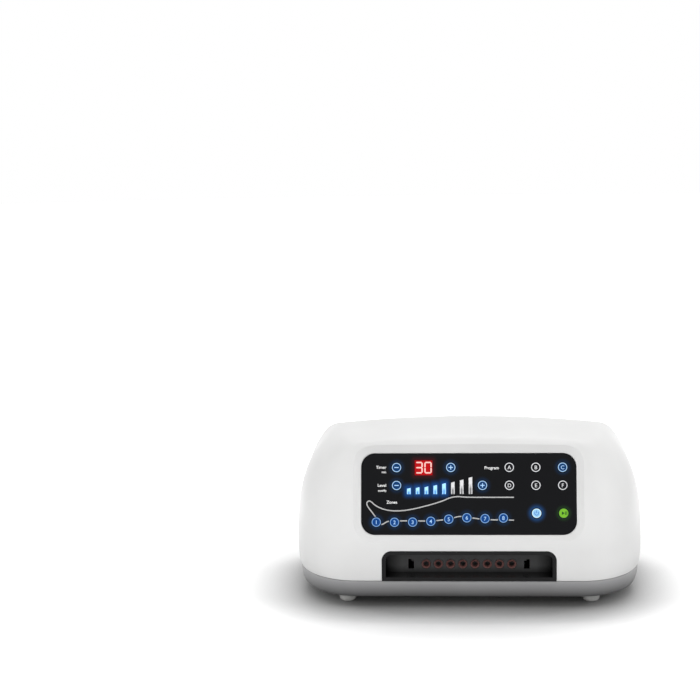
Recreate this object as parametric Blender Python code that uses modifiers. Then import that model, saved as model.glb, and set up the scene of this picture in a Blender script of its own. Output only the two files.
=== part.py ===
"""Compression therapy pump: a bench-top air console that feeds eight chamber hoses.

Metres, +Z up. +X is the viewer's right and the front faces -Y. The origin is the middle of
the footprint, on the surface that the four feet stand on.
"""

import math

import bmesh
import bpy
from mathutils import Matrix, Vector

# Clearance between neighbouring pieces, and how far a cutter runs past what it cuts
GAP = 0.0003
OVERRUN = 0.010
MERGE_DISTANCE = 0.00001
ALONG_AXIS_SHARE = 0.99

# Case outline, seen from above and from the front
CASE_WIDTH = 0.314
CASE_DEPTH = 0.220
CREST_HEIGHT = 0.155
CREST_SETBACK = 0.078
TOP_FRONT_RADIUS = 0.247
TOP_BACK_RADIUS = 0.300
CROWN_RADIUS = 1.200
SEAM_HEIGHT = 0.0243
WIDEST_HEIGHT = 0.040
TAPER_HEIGHT = 0.109
SIDE_TAPER = 0.0377
BACK_TAPER = 0.015
SIDE_TUCK = 0.0028
END_TUCK = 0.0015
FRONT_FLAT = 0.099
FRONT_CORNER_DEPTH = 0.080
BACK_CORNER = 0.050
SHOULDER_ROUND = 0.003
FRONT_SHOULDER_ROUND = 0.008
CASE_WALL = 0.003
TAPER_POWER = 3.6

# Leaning front: it stands upright below the knee and leans back above it
LEAN = math.radians(14.0)
KNEE_HEIGHT = 0.060
KNEE_BLEND = 0.003

# How finely the case is divided: rows up the wall, rings in from the shoulder, points around
WALL_ROW_SHARES = (0.0, 0.06, 0.13, 0.20, 0.25, 0.30, 0.35, 0.47, 0.62, 0.76, 0.88)
SHOULDER_STEP_SHARES = (0.0, 0.33, 0.67, 1.0)
TOP_RING_SHARES = (0.86, 0.66, 0.44, 0.22)
CORNER_STEPS = 8
STRAIGHT_STEPS = 6

# Lower shell
BASE_HEIGHT = 0.0095
BASE_ROUND = 0.0042
BASE_WALL = 0.0025
BASE_ROW_SHARES = (1.0, 0.97, 0.88, 0.70, 0.45, 0.0)

# Feet
FOOT_RADIUS = 0.008
FOOT_SEAT_DEPTH = 0.0012
FOOT_SIDE_INSET = 0.048
FOOT_END_INSET = 0.029
FOOT_CHAMFER = 0.0022
FOOT_CHAMFER_SHARE = 0.3

# Case screws, their bosses in the lower shell and their posts in the upper shell
SCREW_SHANK_RADIUS = 0.0017
SCREW_HEAD_RADIUS = 0.0034
SCREW_HEAD_HEIGHT = 0.0024
SCREW_REACH = 0.010
SCREW_HEAD_SEAT = 0.005
POST_RADIUS = 0.0045
BOSS_RADIUS = 0.006
FRONT_POST_SIDE_INSET = 0.048
FRONT_POST_END_INSET = 0.060
BACK_POST_SIDE_INSET = 0.028
BACK_POST_END_INSET = 0.062

# Control panel, in the lean of the front, with the sloped border of the case around it
PANEL_WIDTH = 0.190
PANEL_HEIGHT = 0.0720
PANEL_CORNER = 0.0120
PANEL_THICKNESS = 0.0025
PANEL_CENTRE_HEIGHT = 0.1012
PANEL_SET_IN = 0.004
BORDER_SIDE = 0.0065
BORDER_TOP = 0.0084
BORDER_CORNER = 0.019
PANEL_LEDGE = 0.005
PANEL_BOSS_DEPTH = 0.010
PANEL_BOSS_MARGIN = 0.008

# Keys: caps through the control panel, with a flange behind it
KEY_RADIUS = 0.0047
KEY_PROUD = 0.00025
KEY_FLANGE_RADIUS = 0.0058
KEY_FLANGE_THICKNESS = 0.0008
KEY_TRAVEL = 0.0008
KEY_SIDES = 16
KEY_PLACE_SHARES = {
    "time_minus_button": (-0.335, 0.3265),
    "time_plus_button": (-0.082, 0.3265),
    "pressure_minus_button": (-0.335, 0.106),
    "pressure_plus_button": (0.065, 0.106),
    "mode_a_button": (0.190, 0.3265),
    "mode_b_button": (0.313, 0.3265),
    "mode_c_button": (0.437, 0.3265),
    "mode_d_button": (0.190, 0.106),
    "mode_e_button": (0.313, 0.106),
    "mode_f_button": (0.437, 0.106),
    "power_button": (0.315, -0.236),
    "start_button": (0.440, -0.236),
    "chamber_1_button": (-0.430, -0.344),
    "chamber_2_button": (-0.345, -0.346),
    "chamber_3_button": (-0.2605, -0.344),
    "chamber_4_button": (-0.176, -0.334),
    "chamber_5_button": (-0.0925, -0.308),
    "chamber_6_button": (-0.0085, -0.291),
    "chamber_7_button": (0.076, -0.301),
    "chamber_8_button": (0.161, -0.294),
}

# Time display and the row of pressure bars
DISPLAY_WIDTH = 0.0155
DISPLAY_HEIGHT = 0.0129
DISPLAY_PLACE_SHARES = (-0.209, 0.3245)
FACE_SET_IN = 0.0001
BAR_WIDTH = 0.0034
BAR_PITCH = 0.0078
BAR_TALLEST = 0.0151
BAR_SLANT = 0.0009
BAR_HEIGHT_SHARES = (0.36, 0.40, 0.45, 0.53, 0.64, 0.72, 0.85, 1.0)
BAR_PLACE_SHARES = (-0.278, 0.0)
GUIDE_THICKNESS = 0.0012
GUIDE_MARGIN = 0.0012

# Display board behind the panel, with a switch under each key, and the remote-control receiver
BOARD_THICKNESS = 0.0016
DISPLAY_BOARD_MARGIN = 0.0005
KEY_SWITCH_SIDE = 0.0045
RECEIVER_WIDTH = 0.006
RECEIVER_HEIGHT = 0.007
RECEIVER_LENS_RADIUS = 0.0022
RECEIVER_LENS_RISE = 0.0008
RECEIVER_BODY_DEPTH = 0.0016
RECEIVER_PLACE_SHARES = (0.035, 0.38)

# Port bay: a dark tray open to the front, with the outlets in its back wall
BAY_WIDTH = 0.1537
BAY_TOP_HEIGHT = 0.0516
BAY_DEPTH = 0.0222
BAY_CORNER = 0.0085
BAY_WALL = 0.0033
BAY_BACK_WALL = 0.0025
BAY_SET_IN = 0.0004
OUTLET_COUNT = 8
OUTLET_PITCH = 0.0109
OUTLET_HEIGHT = 0.0353
OUTLET_SIDES = 16
COLLAR_RADIUS = 0.0040
OUTLET_BORE_RADIUS = 0.00225
COLLAR_PROUD = 0.0010
GASKET_THICKNESS = 0.0015
GASKET_HEIGHT = 0.0110
GASKET_END_MARGIN = 0.0035
LATCH_OFFSET = 0.0515
LATCH_WIDTH = 0.0050
LATCH_HEIGHT = 0.0090
LATCH_NOTCH_WIDTH = 0.0022
LATCH_NOTCH_HEIGHT = 0.0015

# Outlet block, tubing, valve manifold and its solenoids
BLOCK_DEPTH = 0.010
BLOCK_HEIGHT = 0.013
BLOCK_BORE_DEPTH = 0.006
NOZZLE_RADIUS = 0.0020
NOZZLE_LENGTH = 0.006
NOZZLE_SIDES = 10
TUBE_RADIUS = 0.0030
TUBE_LENGTH = 0.022
WEB_THICKNESS = 0.0012
MANIFOLD_DEPTH = 0.016
MANIFOLD_HEIGHT = 0.014
MANIFOLD_POST_RADIUS = 0.0035
MANIFOLD_POST_INSET = 0.008
MANIFOLD_NOZZLE_LENGTH = 0.008
YOKE_THICKNESS = 0.0016
COIL_WIDTH = 0.0090
COIL_DEPTH = 0.0120
COIL_HEIGHT = 0.0180
COIL_SINK = 0.0004

# Compressor on four rubber mounts
MOUNT_RADIUS = 0.0055
MOUNT_WAIST_RADIUS = 0.0038
MOUNT_HEIGHT = 0.012
MOUNT_INSET = 0.009
COMPRESSOR_LENGTH_SHARE = 0.191
COMPRESSOR_DEPTH = 0.052
COMPRESSOR_HEIGHT = 0.044
COMPRESSOR_ROUND = 0.005
COMPRESSOR_BACK_ROOM = 0.026
COMPRESSOR_POST_ROOM = 0.010
HEAD_LENGTH = 0.020
HEAD_DEPTH = 0.042
HEAD_HEIGHT = 0.036
HEAD_ROUND = 0.008
AIR_NOZZLE_LENGTH = 0.009
SUPPLY_TUBE_RADIUS = 0.0034
SUPPLY_TUBE_RISE = 0.014
SUPPLY_TUBE_SWING = 0.020
SUPPLY_RISE_SHARE = 0.2
SUPPLY_FALL_SHARE = 0.65
SUPPLY_TURN_SHARE = 0.08

# Main board, its parts and the transformer
MAIN_BOARD_WIDTH_SHARE = 0.306
MAIN_BOARD_FRONT_ROOM = 0.0147
MAIN_BOARD_HEIGHT = 0.015
MAIN_BOARD_BACK_ROOM = 0.036
MAIN_BOARD_POST_ROOM = 0.006
STANDOFF_RADIUS = 0.003
STANDOFF_INSET = 0.006
CAPACITOR_RADIUS = 0.007
CAPACITOR_HEIGHT = 0.022
CAPACITOR_PITCH_SHARE = 0.1875
CAPACITOR_EDGE = 0.013
HEAT_SINK_WIDTH = 0.004
HEAT_SINK_CLEARANCE = 0.0015
HEAT_SINK_HEIGHT = 0.024
SOLDER_SINK = 0.0004
CONNECTOR_WIDTH = 0.018
CONNECTOR_DEPTH = 0.006
CONNECTOR_HEIGHT = 0.008
CONNECTOR_EDGE = 0.008
CONNECTOR_GAP = 0.003
TRANSFORMER_WIDTH_SHARE = 0.50
TRANSFORMER_DEPTH_SHARE = 0.43
TRANSFORMER_HEIGHT = 0.038
TRANSFORMER_EDGE = 0.006
WINDING_SWELL = 0.004
WINDING_HEIGHT = 0.024
RIBBON_WIDTH = 0.016
RIBBON_THICKNESS = 0.0009
RIBBON_DROP_SHARES = (0.0, 0.10, 0.35, 0.62, 0.86, 0.96, 1.0)
RIBBON_REACH_SHARES = (0.0, 0.22, 0.42, 0.58, 0.80, 0.95, 1.0)

# Rear plate with the mains inlet and the power rocker
PLATE_WIDTH = 0.084
PLATE_HEIGHT = 0.040
PLATE_CORNER = 0.004
PLATE_THICKNESS = 0.0025
PLATE_OFFSET = 0.056
PLATE_CENTRE_HEIGHT = 0.058
PLATE_SET_IN = 0.0045
PLATE_LEDGE = 0.004
PLATE_BOSS_DEPTH = 0.010
PLATE_BOSS_MARGIN = 0.007
FLANGE_THICKNESS = 0.0016
FLANGE_OVERLAP = 0.0025
INLET_OFFSET = 0.020
INLET_WIDTH = 0.0240
INLET_HEIGHT = 0.0140
INLET_DEPTH = 0.0170
INLET_SOCKET_WIDTH = 0.0195
INLET_SOCKET_HEIGHT = 0.0095
INLET_SOCKET_DEPTH = 0.0125
PIN_RADIUS = 0.0012
PIN_SPREAD = 0.0086
PIN_LENGTH = 0.0090
SWITCH_OFFSET = 0.022
SWITCH_WIDTH = 0.0130
SWITCH_HEIGHT = 0.0230
SWITCH_DEPTH = 0.0160
SWITCH_WELL_WIDTH = 0.0100
SWITCH_WELL_HEIGHT = 0.0192
SWITCH_WELL_DEPTH = 0.0130
ROCKER_TILT = math.radians(10.0)
ROCKER_HALF_LENGTH = 0.0082
ROCKER_PIVOT_DEPTH = 0.0040
ROCKER_TIP_RISE = 0.0050
ROCKER_DIP_RISE = 0.0034
ROCKER_HEEL = 0.0030
ROCKER_TAIL = 0.0050
LEAD_RADIUS = 0.0022
LEAD_CLEARANCE = 0.012
LEAD_CROSS_SHARE = 0.45

# Air vents in the floor of the lower shell
VENT_COUNT = 5
VENT_LENGTH = 0.030
VENT_WIDTH = 0.0028
VENT_PITCH = 0.0075

TUBE_STEPS = 4
TUBE_BEVEL_STEPS = 2
NO_PLACE = (0.0, 0.0, 0.0)

# Levels and places worked out from the sizes above
front_plane = -CASE_DEPTH / 2
back_plane = CASE_DEPTH / 2
seam_top = SEAM_HEIGHT + GAP
floor_top = BASE_HEIGHT + BASE_WALL
panel_back = PANEL_SET_IN + PANEL_THICKNESS
display_board_face = PANEL_BOSS_DEPTH + GAP
key_back = panel_back + GAP + KEY_FLANGE_THICKNESS
switch_rise = display_board_face - key_back - KEY_TRAVEL - GAP
bay_front = front_plane + BAY_SET_IN
bay_back = bay_front + BAY_DEPTH
gasket_front = bay_back + GAP
gasket_back = gasket_front + GASKET_THICKNESS
block_front = gasket_back + GAP
block_back = block_front + BLOCK_DEPTH
tube_start = block_back + NOZZLE_LENGTH + GAP
tube_end = tube_start + TUBE_LENGTH
manifold_front = tube_end + GAP + NOZZLE_LENGTH
manifold_back = manifold_front + MANIFOLD_DEPTH
manifold_width = OUTLET_PITCH * OUTLET_COUNT + MANIFOLD_POST_RADIUS
manifold_middle = (manifold_front + manifold_back) / 2
manifold_top = OUTLET_HEIGHT + MANIFOLD_HEIGHT / 2
plate_face = back_plane - PLATE_SET_IN
plate_back = plate_face - PLATE_THICKNESS
outlet_places = [OUTLET_PITCH * (step - (OUTLET_COUNT - 1) / 2) for step in range(OUTLET_COUNT)]
post_places = [
    (side * (CASE_WIDTH / 2 - side_inset), y)
    for side_inset, y in (
        (FRONT_POST_SIDE_INSET, front_plane + FRONT_POST_END_INSET),
        (BACK_POST_SIDE_INSET, back_plane - BACK_POST_END_INSET),
    )
    for side in (-1, 1)
]
foot_places = {
    "foot_front_left": (-1, -1),
    "foot_front_right": (1, -1),
    "foot_rear_left": (-1, 1),
    "foot_rear_right": (1, 1),
}
back_post_x = CASE_WIDTH / 2 - BACK_POST_SIDE_INSET
compressor_length = CASE_WIDTH * COMPRESSOR_LENGTH_SHARE
compressor_x = -(
    back_post_x - POST_RADIUS - COMPRESSOR_POST_ROOM - HEAD_LENGTH - GAP - compressor_length / 2
)
compressor_y = back_plane - COMPRESSOR_BACK_ROOM - COMPRESSOR_DEPTH / 2
compressor_bottom = floor_top + MOUNT_HEIGHT + 2 * GAP
compressor_top = compressor_bottom + COMPRESSOR_HEIGHT
main_board_width = CASE_WIDTH * MAIN_BOARD_WIDTH_SHARE
main_board_x = back_post_x - BOSS_RADIUS - MAIN_BOARD_POST_ROOM - main_board_width / 2
main_board_front = manifold_back + MAIN_BOARD_FRONT_ROOM
main_board_back = back_plane - MAIN_BOARD_BACK_ROOM
main_board_depth = main_board_back - main_board_front
main_board_y = (main_board_front + main_board_back) / 2
main_board_top = MAIN_BOARD_HEIGHT + BOARD_THICKNESS
transformer_width = main_board_width * TRANSFORMER_WIDTH_SHARE
transformer_depth = main_board_depth * TRANSFORMER_DEPTH_SHARE
capacitor_pitch = main_board_width * CAPACITOR_PITCH_SHARE
heat_sink_start = main_board_front + CAPACITOR_EDGE / 2
heat_sink_end = main_board_back - TRANSFORMER_EDGE - transformer_depth - HEAT_SINK_CLEARANCE
standoff_places = [
    (
        main_board_x + across * (main_board_width / 2 - STANDOFF_INSET),
        main_board_y + along * (main_board_depth / 2 - STANDOFF_INSET),
    )
    for across in (-1, 1)
    for along in (-1, 1)
]


# Scene and materials


def clear_scene():
    for thing in list(bpy.data.objects):
        bpy.data.objects.remove(thing, do_unlink=True)


def new_collection(name):
    group = bpy.data.collections.new(name)
    bpy.context.scene.collection.children.link(group)
    return group


def make_finish(name, colour, roughness, metallic=0.0):
    finish = bpy.data.materials.new(name)
    finish.use_nodes = True
    shader = finish.node_tree.nodes["Principled BSDF"]
    shader.inputs["Base Color"].default_value = (*colour, 1.0)
    shader.inputs["Roughness"].default_value = roughness
    shader.inputs["Metallic"].default_value = metallic
    finish.diffuse_color = (*colour, 1.0)
    return finish


clear_scene()
PARTS = new_collection("compression_therapy_pump")
TOOLS = new_collection("cutters_and_joiners")

# The frame that everything on the leaning front is placed in: +X right, +Y up the slope,
# +Z outward, with its middle on the surface of the case
panel_frame = bpy.data.objects.new("panel_frame", None)
panel_frame.location = (
    0,
    front_plane + (PANEL_CENTRE_HEIGHT - KNEE_HEIGHT) * math.tan(LEAN),
    PANEL_CENTRE_HEIGHT,
)
panel_frame.rotation_euler = (math.pi / 2 - LEAN, 0, 0)
PARTS.objects.link(panel_frame)


# Shape helpers


def add_piece(name, build, finish, parent=None, location=NO_PLACE, rotation=NO_PLACE):
    mesh = bpy.data.meshes.new(name)
    build.to_mesh(mesh)
    build.free()
    mesh.shade_smooth()
    mesh.set_sharp_from_angle(angle=math.radians(35.0))
    piece = bpy.data.objects.new(name, mesh)
    piece.parent = parent
    piece.location = location
    piece.rotation_euler = rotation
    if finish is None:
        piece.hide_render = True
        piece.display_type = "WIRE"
        TOOLS.objects.link(piece)
    else:
        mesh.materials.append(finish)
        PARTS.objects.link(piece)
    return piece


def add_tool(name, build, parent=None):
    return add_piece(name, build, None, parent)


def combine(piece, tool, operation):
    step = piece.modifiers.new(f"{operation.lower()} {tool.name}", "BOOLEAN")
    step.operation = operation
    step.object = tool


def cut(piece, tool):
    combine(piece, tool, "DIFFERENCE")


def join(piece, tool):
    combine(piece, tool, "UNION")


def put_block(build, low, high, corner=0.0, along="Z", steps=4, top_only=False):
    """A box between two opposite corners, with its edges along one axis rounded."""
    low = Vector(low)
    high = Vector(high)
    size = high - low
    place = Matrix.Translation((low + high) / 2) @ Matrix.Diagonal((*size, 1.0))
    made = bmesh.ops.create_cube(build, size=1, matrix=place)
    if corner > 0:
        axis = "XYZ".index(along)
        edges = {edge for vertex in made["verts"] for edge in vertex.link_edges}
        rounded = []
        for edge in edges:
            span = edge.verts[0].co - edge.verts[1].co
            upright = abs(span[axis]) > span.length * ALONG_AXIS_SHARE
            high_up = edge.verts[0].co.z > (low.z + high.z) / 2
            if upright and (high_up or not top_only):
                rounded.append(edge)
        bmesh.ops.bevel(
            build, geom=rounded, offset=corner, segments=steps, profile=0.5, affect="EDGES"
        )
    return build


def put_rod(build, start, end, radius, sides, end_radius=None):
    """A round rod from one point to another."""
    start = Vector(start)
    end = Vector(end)
    span = end - start
    turn = span.to_track_quat("Z", "Y").to_matrix().to_4x4()
    bmesh.ops.create_cone(
        build,
        cap_ends=True,
        segments=sides,
        radius1=radius,
        radius2=radius if end_radius is None else end_radius,
        depth=span.length,
        matrix=Matrix.Translation((start + end) / 2) @ turn,
    )
    return build


def add_block(name, finish, low, high, corner=0.0, along="Z", steps=4, parent=None):
    build = put_block(bmesh.new(), low, high, corner, along, steps)
    return add_piece(name, build, finish, parent)


def loft(rings, close_top):
    """Skin over rings of equal count, bottom to top, closed below by one face."""
    build = bmesh.new()
    rows = [[build.verts.new(point) for point in ring] for ring in rings]
    count = len(rows[0])
    for lower, upper in zip(rows, rows[1:]):
        for i in range(count):
            after = (i + 1) % count
            build.faces.new((lower[i], lower[after], upper[after], upper[i]))
    build.faces.new(list(reversed(rows[0])))
    if close_top:
        build.faces.new(rows[-1])
    return build, rows


def settle(build):
    """Turns every face outward and splits the twisted ones, so that cuts meet them exactly."""
    bmesh.ops.recalc_face_normals(build, faces=build.faces)
    bmesh.ops.triangulate(build, faces=build.faces)


def add_turned(name, finish, profile, steps, location, rotation=NO_PLACE):
    """A turned piece: its profile runs from the axis, down the outside, back to the axis."""
    mesh = bpy.data.meshes.new(name)
    edges = [(i, i + 1) for i in range(len(profile) - 1)]
    mesh.from_pydata([(radius, 0, height) for radius, height in profile], edges, [])
    mesh.materials.append(finish)
    piece = bpy.data.objects.new(name, mesh)
    piece.location = location
    piece.rotation_euler = rotation
    PARTS.objects.link(piece)
    spin = piece.modifiers.new("turn", "SCREW")
    spin.steps = steps
    spin.render_steps = steps
    spin.use_merge_vertices = True
    spin.merge_threshold = MERGE_DISTANCE
    return piece


def smooth_route(knots):
    """Points on a smooth curve through the knots, which leaves and arrives straight."""
    ends = [2 * knots[0] - knots[1], *knots, 2 * knots[-1] - knots[-2]]
    route = []
    for a, b, c, d in zip(ends, ends[1:], ends[2:], ends[3:]):
        for step in range(TUBE_STEPS):
            t = step / TUBE_STEPS
            slope_in = (c - a) / 2
            slope_out = (d - b) / 2
            rise = 3 * t**2 - 2 * t**3
            route.append(
                b * (1 - rise)
                + c * rise
                + slope_in * (t**3 - 2 * t**2 + t)
                + slope_out * (t**3 - t**2)
            )
    route[1] = knots[0].lerp(knots[1], 1 / TUBE_STEPS)
    route[-1] = knots[-1].lerp(knots[-2], 1 / TUBE_STEPS)
    return [*route, knots[-1]]


def add_tube(name, finish, knots, radius):
    curve = bpy.data.curves.new(name, "CURVE")
    curve.dimensions = "3D"
    curve.bevel_depth = radius
    curve.bevel_resolution = TUBE_BEVEL_STEPS
    curve.use_fill_caps = True
    points = smooth_route([Vector(knot) for knot in knots])
    spline = curve.splines.new("POLY")
    spline.points.add(len(points) - 1)
    for spot, point in zip(spline.points, points):
        spot.co = (*point, 1.0)
    curve.materials.append(finish)
    tube = bpy.data.objects.new(name, curve)
    PARTS.objects.link(tube)
    return tube


# Finishes, read from the object's own surfaces
white_shell = make_finish("white shell", (0.86, 0.87, 0.88), 0.30)
grey_shell = make_finish("grey shell", (0.42, 0.43, 0.44), 0.45)
pale_rubber = make_finish("pale rubber", (0.55, 0.55, 0.55), 0.70)
black_gloss = make_finish("black gloss", (0.012, 0.013, 0.015), 0.12)
bay_black = make_finish("bay black", (0.02, 0.02, 0.022), 0.25)
seal_red = make_finish("seal red", (0.30, 0.08, 0.06), 0.55)
board_green = make_finish("board green", (0.02, 0.16, 0.06), 0.50)
steel = make_finish("zinc steel", (0.55, 0.56, 0.58), 0.35, 1.0)
cast_metal = make_finish("cast alloy", (0.45, 0.46, 0.48), 0.50, 1.0)
dark_rubber = make_finish("dark rubber", (0.03, 0.03, 0.03), 0.80)
grey_plastic = make_finish("grey plastic", (0.20, 0.21, 0.22), 0.45)
copper_winding = make_finish("copper winding", (0.45, 0.16, 0.06), 0.40, 1.0)
clear_tube = make_finish("silicone tube", (0.75, 0.76, 0.74), 0.45)
key_blue = make_finish("lit key blue", (0.01, 0.16, 0.50), 0.25)
key_dark = make_finish("unlit key", (0.03, 0.03, 0.035), 0.25)
key_green = make_finish("start key green", (0.30, 0.62, 0.08), 0.30)
key_pale = make_finish("power key pale", (0.45, 0.75, 0.80), 0.30)
digit_red = make_finish("display red", (0.10, 0.01, 0.01), 0.20)
ribbon_grey = make_finish("ribbon grey", (0.35, 0.35, 0.36), 0.60)


# Case outline


def soft_rise(height):
    """Height above the knee, eased in around it."""
    return KNEE_BLEND * math.log1p(math.exp(height / KNEE_BLEND))


def drawn_in(height, taper, tuck):
    """How far the wall lies inside its widest outline at this height."""
    if height > WIDEST_HEIGHT:
        return taper * ((height - WIDEST_HEIGHT) / TAPER_HEIGHT) ** TAPER_POWER
    return tuck * ((WIDEST_HEIGHT - height) / (WIDEST_HEIGHT - SEAM_HEIGHT)) ** 2


def quarter(middle_x, middle_y, radius_x, radius_y, start):
    points = []
    for step in range(CORNER_STEPS + 1):
        angle = start + math.pi / 2 * step / CORNER_STEPS
        points.append(
            (middle_x + radius_x * math.cos(angle), middle_y + radius_y * math.sin(angle))
        )
    return points


def between(first, last):
    return [
        (
            first[0] + (last[0] - first[0]) * step / STRAIGHT_STEPS,
            first[1] + (last[1] - first[1]) * step / STRAIGHT_STEPS,
        )
        for step in range(1, STRAIGHT_STEPS)
    ]


def case_outline(height, inset):
    """The case seen from above at this height, drawn in by the inset, anticlockwise."""
    side = CASE_WIDTH / 2 - drawn_in(height, SIDE_TAPER, SIDE_TUCK) - inset
    lean = math.tan(LEAN) * soft_rise(height - KNEE_HEIGHT)
    front = front_plane + lean + drawn_in(min(height, WIDEST_HEIGHT), 0, END_TUCK) + inset
    back = back_plane - drawn_in(height, BACK_TAPER, END_TUCK) - inset
    wide = side - FRONT_FLAT
    deep = FRONT_CORNER_DEPTH - inset
    round_back = BACK_CORNER - inset
    front_right = quarter(FRONT_FLAT, front + deep, wide, deep, -math.pi / 2)
    back_right = quarter(side - round_back, back - round_back, round_back, round_back, 0)
    back_left = quarter(
        round_back - side, back - round_back, round_back, round_back, math.pi / 2
    )
    front_left = quarter(-FRONT_FLAT, front + deep, wide, deep, math.pi)
    return (
        front_right
        + between(front_right[-1], back_right[0])
        + back_right
        + between(back_right[-1], back_left[0])
        + back_left
        + between(back_left[-1], front_left[0])
        + front_left
        + between(front_left[-1], front_right[0])
    )


def top_height(x, y):
    """The domed top: a crest across the case, falling to the front, the back and the sides."""
    reach = y - front_plane - CREST_SETBACK
    radius = TOP_FRONT_RADIUS if reach < 0 else TOP_BACK_RADIUS
    return CREST_HEIGHT - reach**2 / (2 * radius) - x**2 / (2 * CROWN_RADIUS)


def shoulder_round(y, front_y):
    """The round between the wall and the top: wide along the front, tight at the sides and back."""
    share = min((y - front_y) / FRONT_CORNER_DEPTH, 1)
    return FRONT_SHOULDER_ROUND + (SHOULDER_ROUND - FRONT_SHOULDER_ROUND) * share


def shoulder_rings(corners, inset, middle_y):
    """The rounded edge between the wall and the top, ring by ring."""
    front_y = min(point[1] for point in corners)
    lower = []
    upper = []
    for i, (x, y, height) in enumerate(corners):
        ease = shoulder_round(y, front_y)
        drop = height - ease
        lower.append(Vector((*case_outline(drop, inset)[i], drop)))
        inward = Vector((-x, middle_y - y)).normalized() * ease
        place = (x + inward.x, y + inward.y)
        upper.append(Vector((*place, top_height(*place) - inset)))
    rings = []
    for share in SHOULDER_STEP_SHARES:
        ring = []
        for low, corner, high in zip(lower, corners, upper):
            rising = low.lerp(Vector(corner), share)
            ring.append(rising.lerp(Vector(corner).lerp(high, share), share))
        rings.append(ring)
    return rings


def case_body(inset, bottom):
    """The outer or inner form of the upper case: walls, rounded shoulder and domed top."""
    count = len(case_outline(bottom, inset))
    corners = []
    for i in range(count):
        height = CREST_HEIGHT
        for _ in range(12):
            x, y = case_outline(height, inset)[i]
            height = top_height(x, y) - inset
        corners.append((x, y, height))
    middle_y = sum(point[1] for point in corners) / count
    front_y = min(point[1] for point in corners)
    rings = []
    for share in WALL_ROW_SHARES:
        ring = []
        for i, (_, y, edge) in enumerate(corners):
            height = bottom + share * (edge - shoulder_round(y, front_y) - bottom)
            ring.append((*case_outline(height, inset)[i], height))
        rings.append(ring)
    rings += shoulder_rings(corners, inset, middle_y)
    for share in TOP_RING_SHARES:
        ring = []
        for x, y, _ in corners:
            place = (x * share, middle_y + (y - middle_y) * share)
            ring.append((*place, top_height(*place) - inset))
        rings.append(ring)
    build, rows = loft(rings, close_top=False)
    peak = build.verts.new((0, middle_y, top_height(0, middle_y) - inset))
    last = rows[-1]
    for i in range(count):
        build.faces.new((last[i], last[(i + 1) % count], peak))
    settle(build)
    return build


# Frames for the pieces that pass through the leaning front


def rounded_ring(width, height, corner, depth, shift=0.0, steps=6):
    """A rounded rectangle at this depth below the case surface, anticlockwise."""
    ring = []
    for step_x, step_y, start in ((1, -1, -0.5), (1, 1, 0.0), (-1, 1, 0.5), (-1, -1, 1.0)):
        for step in range(steps + 1):
            angle = math.pi * (start + step / steps / 2)
            ring.append(
                (
                    step_x * (width / 2 - corner) + corner * math.cos(angle),
                    step_y * (height / 2 - corner) + corner * math.sin(angle) + shift,
                    -depth,
                )
            )
    return ring


def on_panel(shares):
    return (shares[0] * PANEL_WIDTH, shares[1] * PANEL_HEIGHT)


def panel_block(name, finish, middle, size, front, back, corner=0.0):
    """A block square to the panel, between two depths below the case surface."""
    low = (middle[0] - size[0] / 2, middle[1] - size[1] / 2, -back)
    high = (middle[0] + size[0] / 2, middle[1] + size[1] / 2, -front)
    return add_block(name, finish, low, high, corner, parent=panel_frame)


def border_cutter():
    """The sloped border down to the panel, and the pocket that the panel sits in."""
    pocket_width = PANEL_WIDTH + 2 * GAP
    pocket_height = PANEL_HEIGHT + 2 * GAP
    slope_width = 2 * BORDER_SIDE
    slope_height = BORDER_SIDE + BORDER_TOP
    shift = (BORDER_TOP - BORDER_SIDE) / 2
    grow = 1 + OVERRUN / PANEL_SET_IN
    corner_growth = BORDER_CORNER - PANEL_CORNER
    rings = [
        rounded_ring(pocket_width, pocket_height, PANEL_CORNER + GAP, panel_back + GAP),
        rounded_ring(pocket_width, pocket_height, PANEL_CORNER + GAP, PANEL_SET_IN),
        rounded_ring(
            pocket_width + slope_width * grow,
            pocket_height + slope_height * grow,
            PANEL_CORNER + corner_growth * grow,
            -OVERRUN,
            shift * grow,
        ),
    ]
    build, _ = loft(rings, close_top=True)
    return add_tool("border_cutter", build, panel_frame)


# Upper shell


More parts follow.
